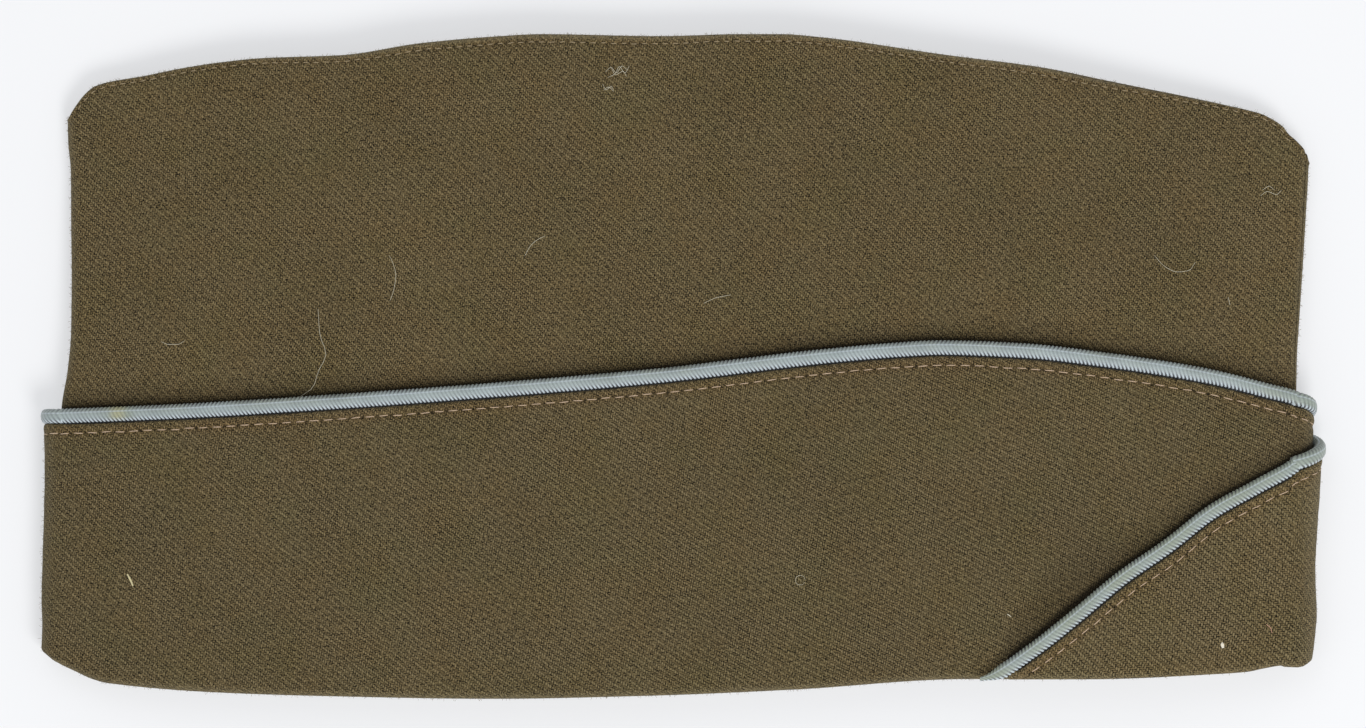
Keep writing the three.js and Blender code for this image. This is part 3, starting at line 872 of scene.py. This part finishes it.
def cord_material():
    """The braided cord. Its attribute holds the length along it, the share round it from the side turned to
    the crown, and how soiled it is."""
    material, n, shader = new_material("piping_cord")
    length, turn, soil = n.parts(n.attribute("cord"))
    point = n.attribute("cloth")
    upward = n.math("COSINE", n.math("MULTIPLY", turn, 2 * math.pi))
    from_spine = n.math("ABSOLUTE", n.math("SUBTRACT", upward, BRAID_SPINE))
    phase = n.math("MULTIPLY_ADD", from_spine, BRAID_SLANT, n.math("MULTIPLY", length, BRAID_WAVE))
    rib = n.math("MULTIPLY_ADD", n.math("COSINE", phase), 0.5, 0.5)
    fibres, bright, dull, patches, green, edge = (n.noise(point, *given) for given in CORD_NOISE.values())
    bright = n.mixed(bright, *CORD_BRIGHT)
    dull = n.mixed(n.between(dull, 0.35, 0.65), *CORD_DULL)
    # The face is duller towards the crown, and so are patches along the cord.
    duller_to_crown = n.between(upward, -0.55, 0.7, 0.1, 0.75)
    patchy = n.between(patches, 0.38, 0.68, 0.45, 1.2)
    colour = n.mixed(n.math("MULTIPLY", duller_to_crown, patchy, clamp=True), bright, dull)
    green = n.math("MULTIPLY", n.between(soil, 0.0, 0.4), n.between(green, 0.35, 0.65, 0.35, 0.95))
    colour = n.mixed(green, colour, CORD_GREEN)
    colour = n.mixed(n.math("MULTIPLY", n.between(soil, 0.45, 0.9), 0.7), colour, CORD_YELLOW)
    # A lighter strand runs along the middle, and the ribs' ends towards the curtain get a painted highlight.
    spine = n.between(from_spine, 0.03, 0.14, 0.45, 0.0)
    rib_highlight = n.math("MULTIPLY", n.between(upward, -0.35, -0.8, 0.0, 0.9), rib)
    colour = n.mixed(n.math("MAXIMUM", spine, rib_highlight), colour, CORD_STRAND_AND_HIGHLIGHT)
    # Painted shade darkens the gaps between the ribs, most towards both edges.
    low = n.between(upward, -0.85, -0.1, 0.9, 0.28)
    high = n.between(upward, 0.4, 0.85, 0.28, n.between(edge, 0.4, 0.6, 0.5, 0.95))
    contrast = n.math("MAXIMUM", low, high)
    rib_gap_shade = n.math("MULTIPLY", n.math("SUBTRACT", 1.0, n.between(rib, 0.1, 0.75)), contrast)
    colour = n.mixed(rib_gap_shade, colour, CORD_GAP_SHADE)
    shade = n.between(fibres, 0.3, 0.7, 0.84, 1.12)
    n.join(n.vector("SCALE", colour, scale=shade), shader.inputs["Base Color"])
    relief = n.math("MULTIPLY", fibres, CORD_BUMP["fibres"])
    n.join(n.bump(relief, CORD_BUMP["strength"]), shader.inputs["Normal"])
    set_inputs(shader, CORD_SHADER)
    return material


THREAD_NOISE = dict(colour=(1.3, 3, 0.7), relief=(0.12, 2))
THREAD_BUMP = dict(height=0.08, strength=0.6)
THREAD_SHADER = {"Roughness": 0.7, "Sheen Weight": 0.1}


def thread_material(name, colour, other):
    """Yarn or fibre of two colours, each given by its screen values."""
    material, n, shader = new_material(name)
    point = n.attribute("cloth")
    share = n.noise(point, *THREAD_NOISE["colour"])
    n.join(n.mixed(share, linear(*colour), linear(*other)), shader.inputs["Base Color"])
    relief = n.math("MULTIPLY", n.noise(point, *THREAD_NOISE["relief"]), THREAD_BUMP["height"])
    n.join(n.bump(relief, THREAD_BUMP["strength"]), shader.inputs["Normal"])
    set_inputs(shader, THREAD_SHADER)
    return material


serge_crown = serge(
    "serge_crown", weft=(115, 98, 67), warp=(145, 129, 94), pitch=CROWN_STITCH["right"], hole_depth=0.55
)
serge_curtain = serge(
    "serge_curtain", weft=(111, 96, 66), warp=(142, 127, 94), pitch=CURTAIN_STITCH["right"], hole_depth=0.85
)
braid = cord_material()
curtain_thread = thread_material("curtain_thread", (214, 188, 160), (164, 140, 114))
crown_thread = thread_material("crown_thread", (176, 158, 124), (128, 112, 84))
pale_fibre = thread_material("pale_fibre", (205, 200, 180), (165, 155, 128))
wool_fibre = thread_material("wool_fibre", (150, 138, 108), (112, 98, 70))
# near black: painted shade in the gap between the cord and the curtain
tape_shade = thread_material("piping_tape_shade", (26, 30, 36), (16, 17, 20))
straw = thread_material("straw", (222, 212, 170), (190, 178, 130))
husk = thread_material("husk", (244, 240, 228), (218, 208, 184))
red_fibre = thread_material("red_fibre", (200, 158, 132), (172, 128, 102))


# Cloth pieces
def places_to(end, step, start=0.0):
    """Places along a side, past the front fold too, step millimetres apart and closer round the folds."""
    turns = 8
    count = int((1 - 2 * QUARTER_TURN) * RIM_LENGTH / step)
    first = np.linspace(0, QUARTER_TURN, turns)[:-1]
    straight = np.linspace(QUARTER_TURN, 1 - QUARTER_TURN, count)
    last = np.linspace(1 - QUARTER_TURN, 1, turns)[1:]
    side = np.concatenate([first, straight, last])
    both = np.concatenate([side, (2 - side)[::-1][1:]])
    near = 0.3 * step / RIM_LENGTH
    kept = both[(both > start + near) & (both < end - near)]
    return np.concatenate([[start], kept, [end]])


def arc(centre_out, centre_height, radius, first, last, count):
    """Points round part of a circle, its angles in degrees, 0 out and 90 up. radius may differ by place."""
    angle = np.radians(np.linspace(first, last, count))
    return centre_out + radius * np.cos(angle), centre_height + radius * np.sin(angle)


def chain(parts):
    """One [out, height] array of the (out, height) pairs, each of one column or several."""
    rows = max(np.shape(part)[0] for pair in parts for part in pair if np.ndim(part) == 2)
    outs, heights = [], []
    for out, height in parts:
        out, height = np.broadcast_arrays(out, height)
        if out.ndim < 2:
            out, height = out.reshape(1, -1), height.reshape(1, -1)
        outs.append(np.broadcast_to(out, (rows, out.shape[1])))
        heights.append(np.broadcast_to(height, (rows, height.shape[1])))
    return np.stack([np.concatenate(outs, 1), np.concatenate(heights, 1)], -1)


def spread(first, last, count, crowd_last=0.0):
    """Heights from first to last, the later ones closer together."""
    share = np.linspace(0, 1, count)[None, :]
    share = share + crowd_last * np.sin(math.pi * share) / math.pi
    return mix(first, last, share)


def half_gap(along):
    height = top_height(share_at(along))
    upper, lower = (base_point(crown_folds, loop, height) for loop in (along, 2 - along))
    return np.abs(upper[..., 2] - lower[..., 2]) / 2


def turned_in(side, along):
    """How far past the cloth's thickness a crown side's top edge is turned in, beyond the valley's ends."""
    height = top_height(share_at(along))
    steepness = np.abs(round_and_out(crown_folds, loop_of(side, along), height)[1][..., 2])
    full = (half_gap(along) - EASE / 2) / np.maximum(steepness, 0.2) - CROWN_FACE
    from_end = VALLEY_END_GAP - np.minimum(along, 1 - along) * RIM_LENGTH
    return np.maximum(full, 0) * smooth(from_end - 0.2)


CROWN_EDGE_ROUND = 0.62
CROWN_EDGE_ROWS = dict(within=4.5, count=15)  # finer rows near the top edge, where the stitches are


def crown_side(side, step, rows, hidden_rows, inner_rows):
    front = QUARTER_TURN * FRONT_SEAM_TURN
    along = places_to(1 - front if side == "right" else 1 + front, step)
    share = share_at(loop_of(side, along))[:, None]
    place_along = along[:, None]
    bottom = rim_height(share) + CURTAIN_WALL + 1.5 * EASE
    top = crown_top_at(side, place_along)
    covered = piping_height(side, place_along) - 3
    deep = CROWN_FACE + turned_in(side, place_along)
    radius = CROWN_EDGE_ROUND
    near_top = top - CROWN_EDGE_ROWS["within"]
    outer = chain([
        (CROWN_FACE, spread(bottom, covered, hidden_rows)[:, :-1]),
        (CROWN_FACE, spread(covered, near_top, rows)[:, :-1]),
        (CROWN_FACE, spread(near_top, top - radius, CROWN_EDGE_ROWS["count"])[:, :-1]),
        arc(CROWN_FACE - radius, top - radius, radius, 0, 90, 7),
    ])
    inner = chain([
        (-CROWN_FACE, spread(bottom, top - CROWN_WALL - EASE / 3, inner_rows)),
        (-deep, top - CROWN_WALL),
        (-deep, top - 0.25),
        (-deep + 0.25, top),
    ])
    return cloth_object(
        f"crown_cloth_{side}", f"crown_side_{side}", crown_folds, side, along, outer, inner,
        crown_relief, serge_crown, crown_marks, straight_grain, seams=("back", "front"),
    )


def curtain_top(side, along):
    ease = mix(EASE_AT_FOLDS, EASE, smooth(from_folds(along) / 5))
    return piping_height(side, along) - (PIPING_WIDTH / 2 + ease) / piping_slope(side, along)


CURTAIN_EDGE_ROUND = 0.6
CURTAIN_EDGE_ROWS = dict(within=5, count=16)
RIM_ROUND = dict(outside=1.5, inside=0.4)


def curtain(side, step, rows, inner_rows):
    along = places_to(LAP_ENDS - (TAIL_SETBACK if side == "right" else SHOWN_SETBACK), step)
    share = share_at(loop_of(side, along))[:, None]
    place_along = along[:, None]
    rim = rim_height(share)
    top = np.maximum(curtain_top(side, place_along), rim + CURTAIN_WALL + 0.3)
    inside = inner_face(side, place_along)
    outside = inside + CURTAIN_WALL
    lapped = np.minimum(1, 4 * lap_at(place_along)) if side == "left" else 0
    lip = mix(-CROWN_FACE, inside - EASE / 3, lapped)
    crease = rim + CURTAIN_WALL
    turn = np.minimum(RIM_ROUND["outside"], (outside - lip) * 0.5)
    small, radius = RIM_ROUND["inside"], CURTAIN_EDGE_ROUND
    finer = np.minimum(CURTAIN_EDGE_ROWS["within"] / (top - rim), 0.5)
    near_top = mix(rim + turn, top - radius, 1 - finer)
    outer = chain([
        arc(lip + small, rim + small, small, 200, 270, 4),
        arc(outside - turn, rim + turn, turn, 275, 360, 9),
        (outside, spread(rim + turn, near_top, rows)[:, 1:-1]),
        (outside, spread(near_top, top - radius, CURTAIN_EDGE_ROWS["count"])[:, :-1]),
        arc(outside - radius, top - radius, radius, 0, 80, 6),
    ])
    inner = chain([
        (lip, rim + 0.8),
        (lip, crease),
        (inside - EASE / 3, crease),
        (inside, spread(crease + EASE / 3, top - EDGE_ROUND, inner_rows)),
        (inside + EDGE_ROUND, top),
    ])
    return cloth_object(
        f"curtain_cloth_{side}", f"curtain_{side}", curtain_folds, side, along, outer, inner,
        curtain_relief, serge_curtain, curtain_marks, curtain_grain, seams=("back",),
        coarse=1.0 if side == "left" else 0.0,
    )


def crown_top(side, step):
    start = VALLEY_END_GAP / RIM_LENGTH + EASE / RIM_LENGTH
    along = places_to(1 - start, step, start)
    share = share_at(loop_of(side, along))[:, None]
    place_along = along[:, None]
    top = top_height(share) - CROWN_TOP_DROP
    bottom = top_height(share) - mix(VALLEY_END_DEPTH, VALLEY_DEPTH, np.sin(math.pi * place_along))
    outside = CROWN_FACE + 1.2 * EASE
    seam = half_gap(place_along) - EASE / 2
    inside = np.minimum(outside + CROWN_TOP_WALL, seam - EASE)
    floor = bottom + CROWN_TOP_WALL
    bend = np.minimum(VALLEY_CORNER, seam - outside - EASE)
    crease = np.minimum(VALLEY_CORNER - CROWN_TOP_WALL + EASE, seam - inside - EASE / 3)
    outer = chain([
        (spread(-seam, -outside - bend, 6)[:, :-1], bottom),
        arc(-outside - bend, bottom + bend, bend, 270, 360, 6),
        (-outside, spread(bottom + bend, top, 26)[:, 1:]),
    ])
    inner = chain([
        (spread(-seam, -inside - crease, 6)[:, :-1], floor),
        arc(-inside - crease, floor + crease, crease, 270, 360, 5),
        (-inside, spread(floor + crease, top, 26)[:, 1:]),
    ])
    return cloth_object(
        f"crown_top_cloth_{side}", f"crown_top_{side}", crown_folds, side, along, outer, inner,
        no_relief, serge_crown, no_marks, straight_grain,
    )


crown_side("right", step=0.75, rows=112, hidden_rows=12, inner_rows=20)
crown_side("left", step=1.1, rows=76, hidden_rows=12, inner_rows=16)
for side in ("right", "left"):
    crown_top(side, step=1.6)
for side in ("right", "left"):
    curtain(side, step=0.75, rows=78, inner_rows=12)


# Piping
def piping_path(fine_step, plain_step):
    """Places along the cord from the front of the right curtain, round the back and along the left one."""
    shown_from = 0.97
    right = np.arange(RIGHT_PIPING_ENDS, 0, -fine_step / RIM_LENGTH)
    hidden = np.arange(0, shown_from, plain_step / RIM_LENGTH)
    lap = np.arange(shown_from, CORD_ENDS, fine_step / RIM_LENGTH * 0.75)
    return [("right", right), ("left", np.concatenate([hidden, lap, [CORD_ENDS]]))]


TAPE_THICKNESS = 0.6
STAIN = dict(depth=0.85, at=15.5, width=2.8)  # the yellow one near the back end of the right piping
SOILED_LAP = dict(depth=0.36, begins=0.93, width=0.06)  # the left piping's front is greener
SWELL = dict(rib=0.06, drift=0.015)
TIP = dict(length=6, size=0.3)
SQUARENESS = 0.85  # below 1, the cord's section is fuller than an ellipse


def rounded(share):
    return np.sign(share) * np.abs(share) ** SQUARENESS


def piping(sides=16):
    centres, outs, ways, u, v, soil = [], [], [], [], [], []
    for side, along in piping_path(0.14, 0.22):
        height = piping_height(side, along)
        centres.append(piping_point(side, along))
        outs.append(round_and_out(curtain_folds, loop_of(side, along), height)[1])
        ways.append(piping_direction(side, along) * (1 if side == "left" else -1))
        u.append(loop_of(side, along) * RIM_LENGTH)
        v.append(height)
        stain = STAIN["depth"] * bell(along * RIM_LENGTH - STAIN["at"], STAIN["width"])
        greener = SOILED_LAP["depth"] * smooth((along - SOILED_LAP["begins"]) / SOILED_LAP["width"])
        soil.append(greener + (stain if side == "right" else 0))
    centre, out, way, u, v, soil = (np.concatenate(parts) for parts in (centres, outs, ways, u, v, soil))
    across = unit(np.cross(way, out))
    length = np.concatenate(([0], np.cumsum(np.linalg.norm(np.diff(centre, axis=0), axis=1))))
    turn = np.arange(sides) / sides
    angle = 2 * math.pi * turn[None, :]
    rib = np.cos(BRAID_WAVE * length[:, None] + BRAID_SLANT * np.abs(np.cos(angle) - BRAID_SPINE))
    swell = 1 + SWELL["rib"] * rib * (0.35 + 0.65 * np.abs(np.cos(angle)))
    swell = swell + SWELL["drift"] * wander(length, 3)[:, None]
    from_tail = length[-1] - length
    size = swell * mix(TIP["size"], 1, smooth(from_tail / TIP["length"]))[:, None]
    wide = PIPING_WIDTH / 2 * size * rounded(np.cos(angle))
    deep = PIPING_DEPTH / 2 * size * rounded(np.sin(angle))
    points = centre[:, None] + across[:, None] * wide[..., None] + out[:, None] * deep[..., None]
    flat = points.reshape(-1, 3) + ORIGIN
    faces = facing_out(flat, tube_faces(len(centre), sides))
    full = np.broadcast_to
    cord = np.stack([
        full(length[:, None], points.shape[:2]),
        full(turn[None, :], points.shape[:2]),
        full(soil[:, None], points.shape[:2]),
    ], -1)
    cloth = np.stack([
        full(u[:, None], points.shape[:2]), full(v[:, None], points.shape[:2]) + wide, deep,
    ], -1)
    made = make_object("piping_braid", flat, faces, braid, cord=cord, cloth=cloth)
    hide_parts("piping")
    return made


def piping_tape_shade():
    """The edge of the cord's tape, coloured near black as painted shade: the dark line between the cord and
    the curtain.
    """
    rings = []
    half = TAPE_THICKNESS / 2
    for side, along in piping_path(0.5, 1.5):
        along = along[along < LAP_ENDS - TAIL_SETBACK]
        middle = inner_face(side, along) + CURTAIN_WALL / 2
        low, high = curtain_top(side, along) - 0.9, piping_height(side, along) - 0.5
        corners = [(middle - half, low), (middle + half, low), (middle + half, high), (middle - half, high)]
        loop = loop_of(side, along)
        rings.append(np.stack([place(curtain_folds, loop, height, out) for out, height in corners], 1))
    points = np.concatenate(rings)
    flat = points.reshape(-1, 3) + ORIGIN
    made = make_object("piping_tape_shade", flat, facing_out(flat, tube_faces(len(points), 4)), tape_shade, cloth=flat)


piping()
piping_tape_shade()


# Stitching
THREAD_RADIUS = 0.12
STITCH_SUNK = 0.28
STITCH_PROUD = 0.1
LAST_STITCH = dict(right=1.0, left=LAP_ENDS - SHOWN_SETBACK - 0.016)


def thread_row(name, folds, side, lengths, height_at, face_at, relief, first, last, pitch, dash, material):
    """Stitches of a pitch and visible length along one line of the cloth, each sinking in at its two ends."""
    steps, sides = 9, 6
    along_table, length_table = lengths
    start, end = (np.interp(at, along_table, length_table) for at in (first, last))
    holes = np.arange(math.ceil(start / pitch), math.floor(end / pitch)) * pitch
    rng = np.random.default_rng(len(holes))
    share = np.linspace(0, 1, steps)[None, :]
    run = dash + rng.normal(0, 0.1, len(holes))[:, None]
    length = holes[:, None] + pitch / 2 + (share - 0.5) * run
    along = np.interp(length, length_table, along_table)
    aside = rng.normal(0, 0.05, len(holes))[:, None]
    slant = 0.1 * (share - 0.5) * rng.normal(0, 1, len(holes))[:, None]
    height = height_at(side, along) + (aside + slant)
    face = face_at(side, along)
    arch = np.sin(math.pi * share) ** 0.5
    lift = relief(side, along, height, face) + mix(-STITCH_SUNK, STITCH_PROUD, arch)
    loop = loop_of(side, along)
    centre = place(folds, loop, height, face + lift)
    way = unit(np.gradient(centre, axis=1))
    out = round_and_out(folds, loop, height)[1]
    across = unit(np.cross(way, out))
    normal = np.cross(across, way)
    angle = np.linspace(0, 2 * math.pi, sides, endpoint=False)
    size = THREAD_RADIUS * (0.55 + 0.45 * np.sin(math.pi * share) ** 0.4)[..., None, None]
    angle = angle[:, None]
    ring = across[:, :, None] * np.cos(angle) + normal[:, :, None] * np.sin(angle)
    points = centre[:, :, None] + ring * size
    flat = points.reshape(-1, 3) + ORIGIN
    cloth = np.broadcast_to(np.stack([loop * RIM_LENGTH, height, 0 * height], -1)[:, :, None], points.shape)
    made = make_object(name, flat, tube_faces(steps, sides, len(holes)), material, cloth=cloth)
    return made


for side in ("right", "left"):
    thread_row(
        f"curtain_stitches_{side}", curtain_folds, side, curtain_lengths[side], curtain_stitch_height,
        curtain_face, curtain_relief, first=0.0, last=LAST_STITCH[side],
        pitch=CURTAIN_STITCH[side], dash=CURTAIN_STITCH["dash"], material=curtain_thread,
    )
    thread_row(
        f"crown_stitches_{side}", crown_folds, side, crown_lengths[side], crown_stitch_height,
        crown_face, crown_relief, first=0.006, last=0.99,
        pitch=CROWN_STITCH[side], dash=CROWN_STITCH["dash"], material=crown_thread,
    )


# Fibres
ASKEW = np.array([0.31, 0.52, 0.8])  # a direction that no fibre takes


def tubes(name, lines, radius, material, slot, sides=4):
    """Thin tubes along lines of equally many points each, [line, point, xyz] in the frame's millimetres."""
    lines = np.asarray(lines, float)
    count, steps = lines.shape[:2]
    way = unit(np.gradient(lines, axis=1))
    aside = unit(np.cross(way, ASKEW))
    normal = np.cross(aside, way)
    angle = np.linspace(0, 2 * math.pi, sides, endpoint=False)[:, None]
    ring = aside[:, :, None] * np.cos(angle) + normal[:, :, None] * np.sin(angle)
    thin = (0.35 + 0.65 * np.sin(math.pi * np.linspace(0.06, 0.94, steps)) ** 0.5)[None, :, None, None]
    points = (lines[:, :, None] + ring * thin * radius).reshape(-1, 3)
    made = make_object(name, points, tube_faces(steps, sides, count), material, cloth=points)
    return made


SURFACES = {
    "crown": (crown_folds, crown_face, crown_relief),
    "curtain": (curtain_folds, curtain_face, curtain_relief),
}


def surface_at(part, x, y):
    """The height over the floor of the cap's upper face, crown or curtain, at places of the frame."""
    folds, face, relief = SURFACES[part]
    height = y - ORIGIN[1]
    across = x - ORIGIN[0]
    target = across
    share = across / RIM_LENGTH
    inner = FOLD_RADIUS / RIM_LENGTH
    for _ in range(8):
        up = up_at(share, height)
        share = np.clip((target - folds[0](up)) / (folds[1](up) - folds[0](up)), 0.01, 0.99)
        along = QUARTER_TURN + (share - inner) / (1 - 2 * inner) * (1 - 2 * QUARTER_TURN)
        out = face("right", along)
        point = place(folds, along, height, out + relief("right", along, height, out))
        target = target + across - point[..., 0]
    return point[..., 2] + ORIGIN[2]


LIFT = 0.12


def laid(part, corners, steps=14, lift=LIFT):
    """A fibre lying on the cap, through corners (x, y) of the frame."""
    corners = np.array(corners, float)
    at = np.concatenate(([0], np.cumsum(np.hypot(*np.diff(corners, axis=0).T))))
    x, y = (curve_through(list(zip(at, corners[:, k])), 1)(np.linspace(0, at[-1], steps)) for k in (0, 1))
    z = surface_at(part, x, y) + lift + LIFT * np.sin(np.linspace(0, 5, steps)) ** 2
    return np.stack([x, y, z], -1)


HAIRS = [  # on the crown
    [(-82.6, 12.9), (-82.2, 7.3), (-80.8, 2.7), (-82.6, -1.4), (-83.6, -4.6), (-87.2, -7.3)],
    [(-118.2, 5.5), (-116.6, 4.9), (-114.5, 4.9), (-112.9, 5.7)],
    [(-66.5, 25.0), (-65.7, 23.4), (-65.0, 20.5), (-65.5, 17.1), (-66.3, 14.8)],
    [(-35.8, 24.9), (-34.6, 27.1), (-32.8, 28.7), (-31.3, 29.4)],
    [(4.7, 14.2), (7.4, 15.4), (10.8, 16.1)],
    [(106.7, 25.1), (109.0, 22.6), (112.0, 21.3), (114.7, 21.7), (116.0, 23.5)],
    [(123.5, 15.6), (123.9, 13.8)],
    [(-17.6, 66.6), (-16.3, 67.7), (-15.1, 66.4), (-13.8, 68.0), (-12.6, 67.0)],
    [(-17.0, 65.4), (-15.4, 66.2), (-14.4, 67.9), (-13.2, 66.4), (-12.2, 68.0)],
    [(-16.4, 67.9), (-15.2, 66.0), (-13.6, 66.8), (-12.8, 65.6)],
    [(-18.2, 63.9), (-17.4, 62.6), (-16.2, 63.4), (-15.8, 62.5)],
    [(-18.0, 62.5), (-16.9, 63.2), (-15.7, 62.2)],
    [(131.6, 40.0), (133.0, 40.8), (134.2, 39.9)],
    [(131.0, 38.6), (132.6, 39.6), (134.6, 38.9), (135.8, 39.9)],
]


STRAW = [(-125.8, -47.1), (-125.0, -48.6), (-124.5, -49.8)]
SPECK = [(73.2, -56.0), (74.1, -56.6)]
HUSK = [(121.8, -62.5), (122.1, -63.7)]
RED_FIBRE = [(131.9, -58.4), (132.9, -59.3), (133.2, -60.4)]
LOOP_MIDDLE = (26.5, -48.4)  # of a fibre that lies as a ring
LOOP_RADIUS = 1.1
ON_TRIANGLE = dict(husk=2.2, red_fibre=2.5)  # lifts on the left curtain, which lies on the right one


def ring_of_fibre():
    turn = np.linspace(0, 2 * math.pi * 0.93, 9)
    return list(zip(LOOP_MIDDLE[0] + LOOP_RADIUS * np.cos(turn), LOOP_MIDDLE[1] + LOOP_RADIUS * np.sin(turn)))


def lint():
    tubes("lint_crown", [laid("crown", corners) for corners in HAIRS], 0.07, pale_fibre, "serge")
    # (name, corners, steps, lift, radius, material)
    for name, corners, steps, lift, radius, material in (
        ("lint_ring", ring_of_fibre(), 24, LIFT, 0.06, pale_fibre),
        ("lint_straw", STRAW, 14, LIFT, 0.26, straw),
        ("lint_speck", SPECK, 8, LIFT, 0.16, pale_fibre),
        ("lint_husk", HUSK, 8, ON_TRIANGLE["husk"], 0.5, husk),
        ("lint_red", RED_FIBRE, 14, ON_TRIANGLE["red_fibre"], 0.11, red_fibre),
    ):
        tubes(name, [laid("curtain", corners, steps, lift)], radius, material, "serge")


FIBRES = dict(top=900, rim=800, crown_fold=420, curtain_fold=360)  # at each edge of the cap
FIBRE_LENGTH = (0.35, 1.1)
FIBRE_RADIUS = 0.03
# (fold, lowest, highest): fuzz at the back fold, 0, or the front one, 1, between shares of the cap's height
CROWN_FUZZ = [(0.0, 0.46, 0.88), (1.0, 0.48, 0.8)]
CURTAIN_FUZZ = [(0.0, 0.07, 0.4), (1.0, 0.07, 0.33)]


def fuzz():
    """Short wool fibres that stand off the cap's edges."""
    rng = np.random.default_rng(5)
    roots, ways = [], []

    def grow(folds, loop, height, out, way=None):
        roots.append(place(folds, loop, height, out) + ORIGIN)
        outward = round_and_out(folds, loop, height)[1]
        ways.append(outward if way is None else outward * 0.25 + np.array(way, float))

    def at_fold(end, low, high, count):
        loop = end + rng.uniform(-0.006, 0.006, count)
        return np.abs(loop), rng.uniform(low, high, count) * CAP_HEIGHT

    for side in ("right", "left"):
        along = rng.uniform(0.02, 0.98, FIBRES["top"])
        top = crown_top_at(side, along) - 0.15
        grow(crown_folds, loop_of(side, along), top, rng.uniform(0, 0.5, FIBRES["top"]), (0, 1, 0))
        along = rng.uniform(0.005, 0.97, FIBRES["rim"])
        rim = rim_height(share_at(loop_of(side, along)))
        grow(curtain_folds, loop_of(side, along), rim + 0.2, rng.uniform(0.8, 2.0, FIBRES["rim"]), (0, -1, 0))
    for end, low, high in CROWN_FUZZ:
        loop, height = at_fold(end, low, high, FIBRES["crown_fold"])
        grow(crown_folds, loop, height, CROWN_FACE + 0 * loop)
    for end, low, high in CURTAIN_FUZZ:
        loop, height = at_fold(end, low, high, FIBRES["curtain_fold"])
        face = curtain_face("right", loop) + (LAP_RISE * 0.9 if end else 0)
        grow(curtain_folds, loop, height, face)
    roots, ways = np.concatenate(roots), unit(np.concatenate(ways))
    count = len(roots)
    length = rng.uniform(*FIBRE_LENGTH, count)[:, None]
    first = unit(ways + rng.normal(0, 0.55, (count, 3)))
    second = unit(first + rng.normal(0, 0.8, (count, 3)))
    third = unit(second + rng.normal(0, 0.8, (count, 3)))
    lines = [roots - ways * 0.1]
    for way in (first, second, third):
        lines.append(lines[-1] + way * length / 3)
    lines = np.stack(lines, 1)
    lines[..., 2] = np.maximum(lines[..., 2], 0.08)
    tubes("wool_fuzz", lines, FIBRE_RADIUS, wool_fibre, "serge", sides=3)


lint()
fuzz()


# Floor, light and camera
FLOOR_SHADER = {
    "Base Color": (0.4, 0.404, 0.412, 1), "Roughness": 0.8, "Emission Color": (0.965, 0.975, 1.0, 1),
    "Emission Strength": 0.53,
}
FLOOR_REACH = 4.0


def floor():
    material, _, shader = new_material("pale_floor")
    set_inputs(shader, FLOOR_SHADER)
    mesh = bpy.data.meshes.new("floor")
    far = FLOOR_REACH
    corners = [(-far, -far, 0), (far, -far, 0), (far, far, 0), (-far, far, 0)]
    mesh.from_pydata(corners, [], [(0, 1, 2, 3)])
    mesh.materials.append(material)
    made = bpy.data.objects.new("floor", mesh)
    bpy.context.scene.collection.objects.link(made)


def area_light(name, position, size, power, colour):
    light = bpy.data.lights.new(name, "AREA")
    light.shape = "DISK"
    light.size = size
    light.energy = power
    light.color = colour
    made = bpy.data.objects.new(name, light)
    made.location = position
    made.rotation_euler = (-made.location).to_track_quat("-Z", "Y").to_euler()
    bpy.context.scene.collection.objects.link(made)


# Metres, for the camera, which looks straight down
CAMERA_HEIGHT = 2.4
FACE_LEVEL = 0.014  # about that of the cap's upper face, where the view is HALF_VIEW wide to each side
HALF_VIEW = 0.1545
VIEW_MIDDLE = 0.00045


def studio():
    scene = bpy.context.scene
    scene.view_settings.view_transform = "Standard"
    world = bpy.data.worlds.new("world")
    world.use_nodes = True
    set_inputs(world.node_tree.nodes["Background"], {"Color": (0.98, 0.99, 1.0, 1), "Strength": 0.6})
    scene.world = world
    area_light("key", (0.5, -0.95, 1.35), size=0.8, power=15, colour=(1.0, 0.99, 0.97))
    area_light("fill", (-0.4, 0.7, 1.5), size=1.0, power=2.5, colour=(0.97, 0.98, 1.0))

    data = bpy.data.cameras.new("camera")
    camera = bpy.data.objects.new("camera", data)
    camera.location = (0, VIEW_MIDDLE, CAMERA_HEIGHT)
    data.sensor_width = 36
    data.lens = data.sensor_width / 2 * (CAMERA_HEIGHT - FACE_LEVEL) / HALF_VIEW
    data.clip_start, data.clip_end = 0.05, 20
    scene.collection.objects.link(camera)
    scene.camera = camera


floor()
studio()
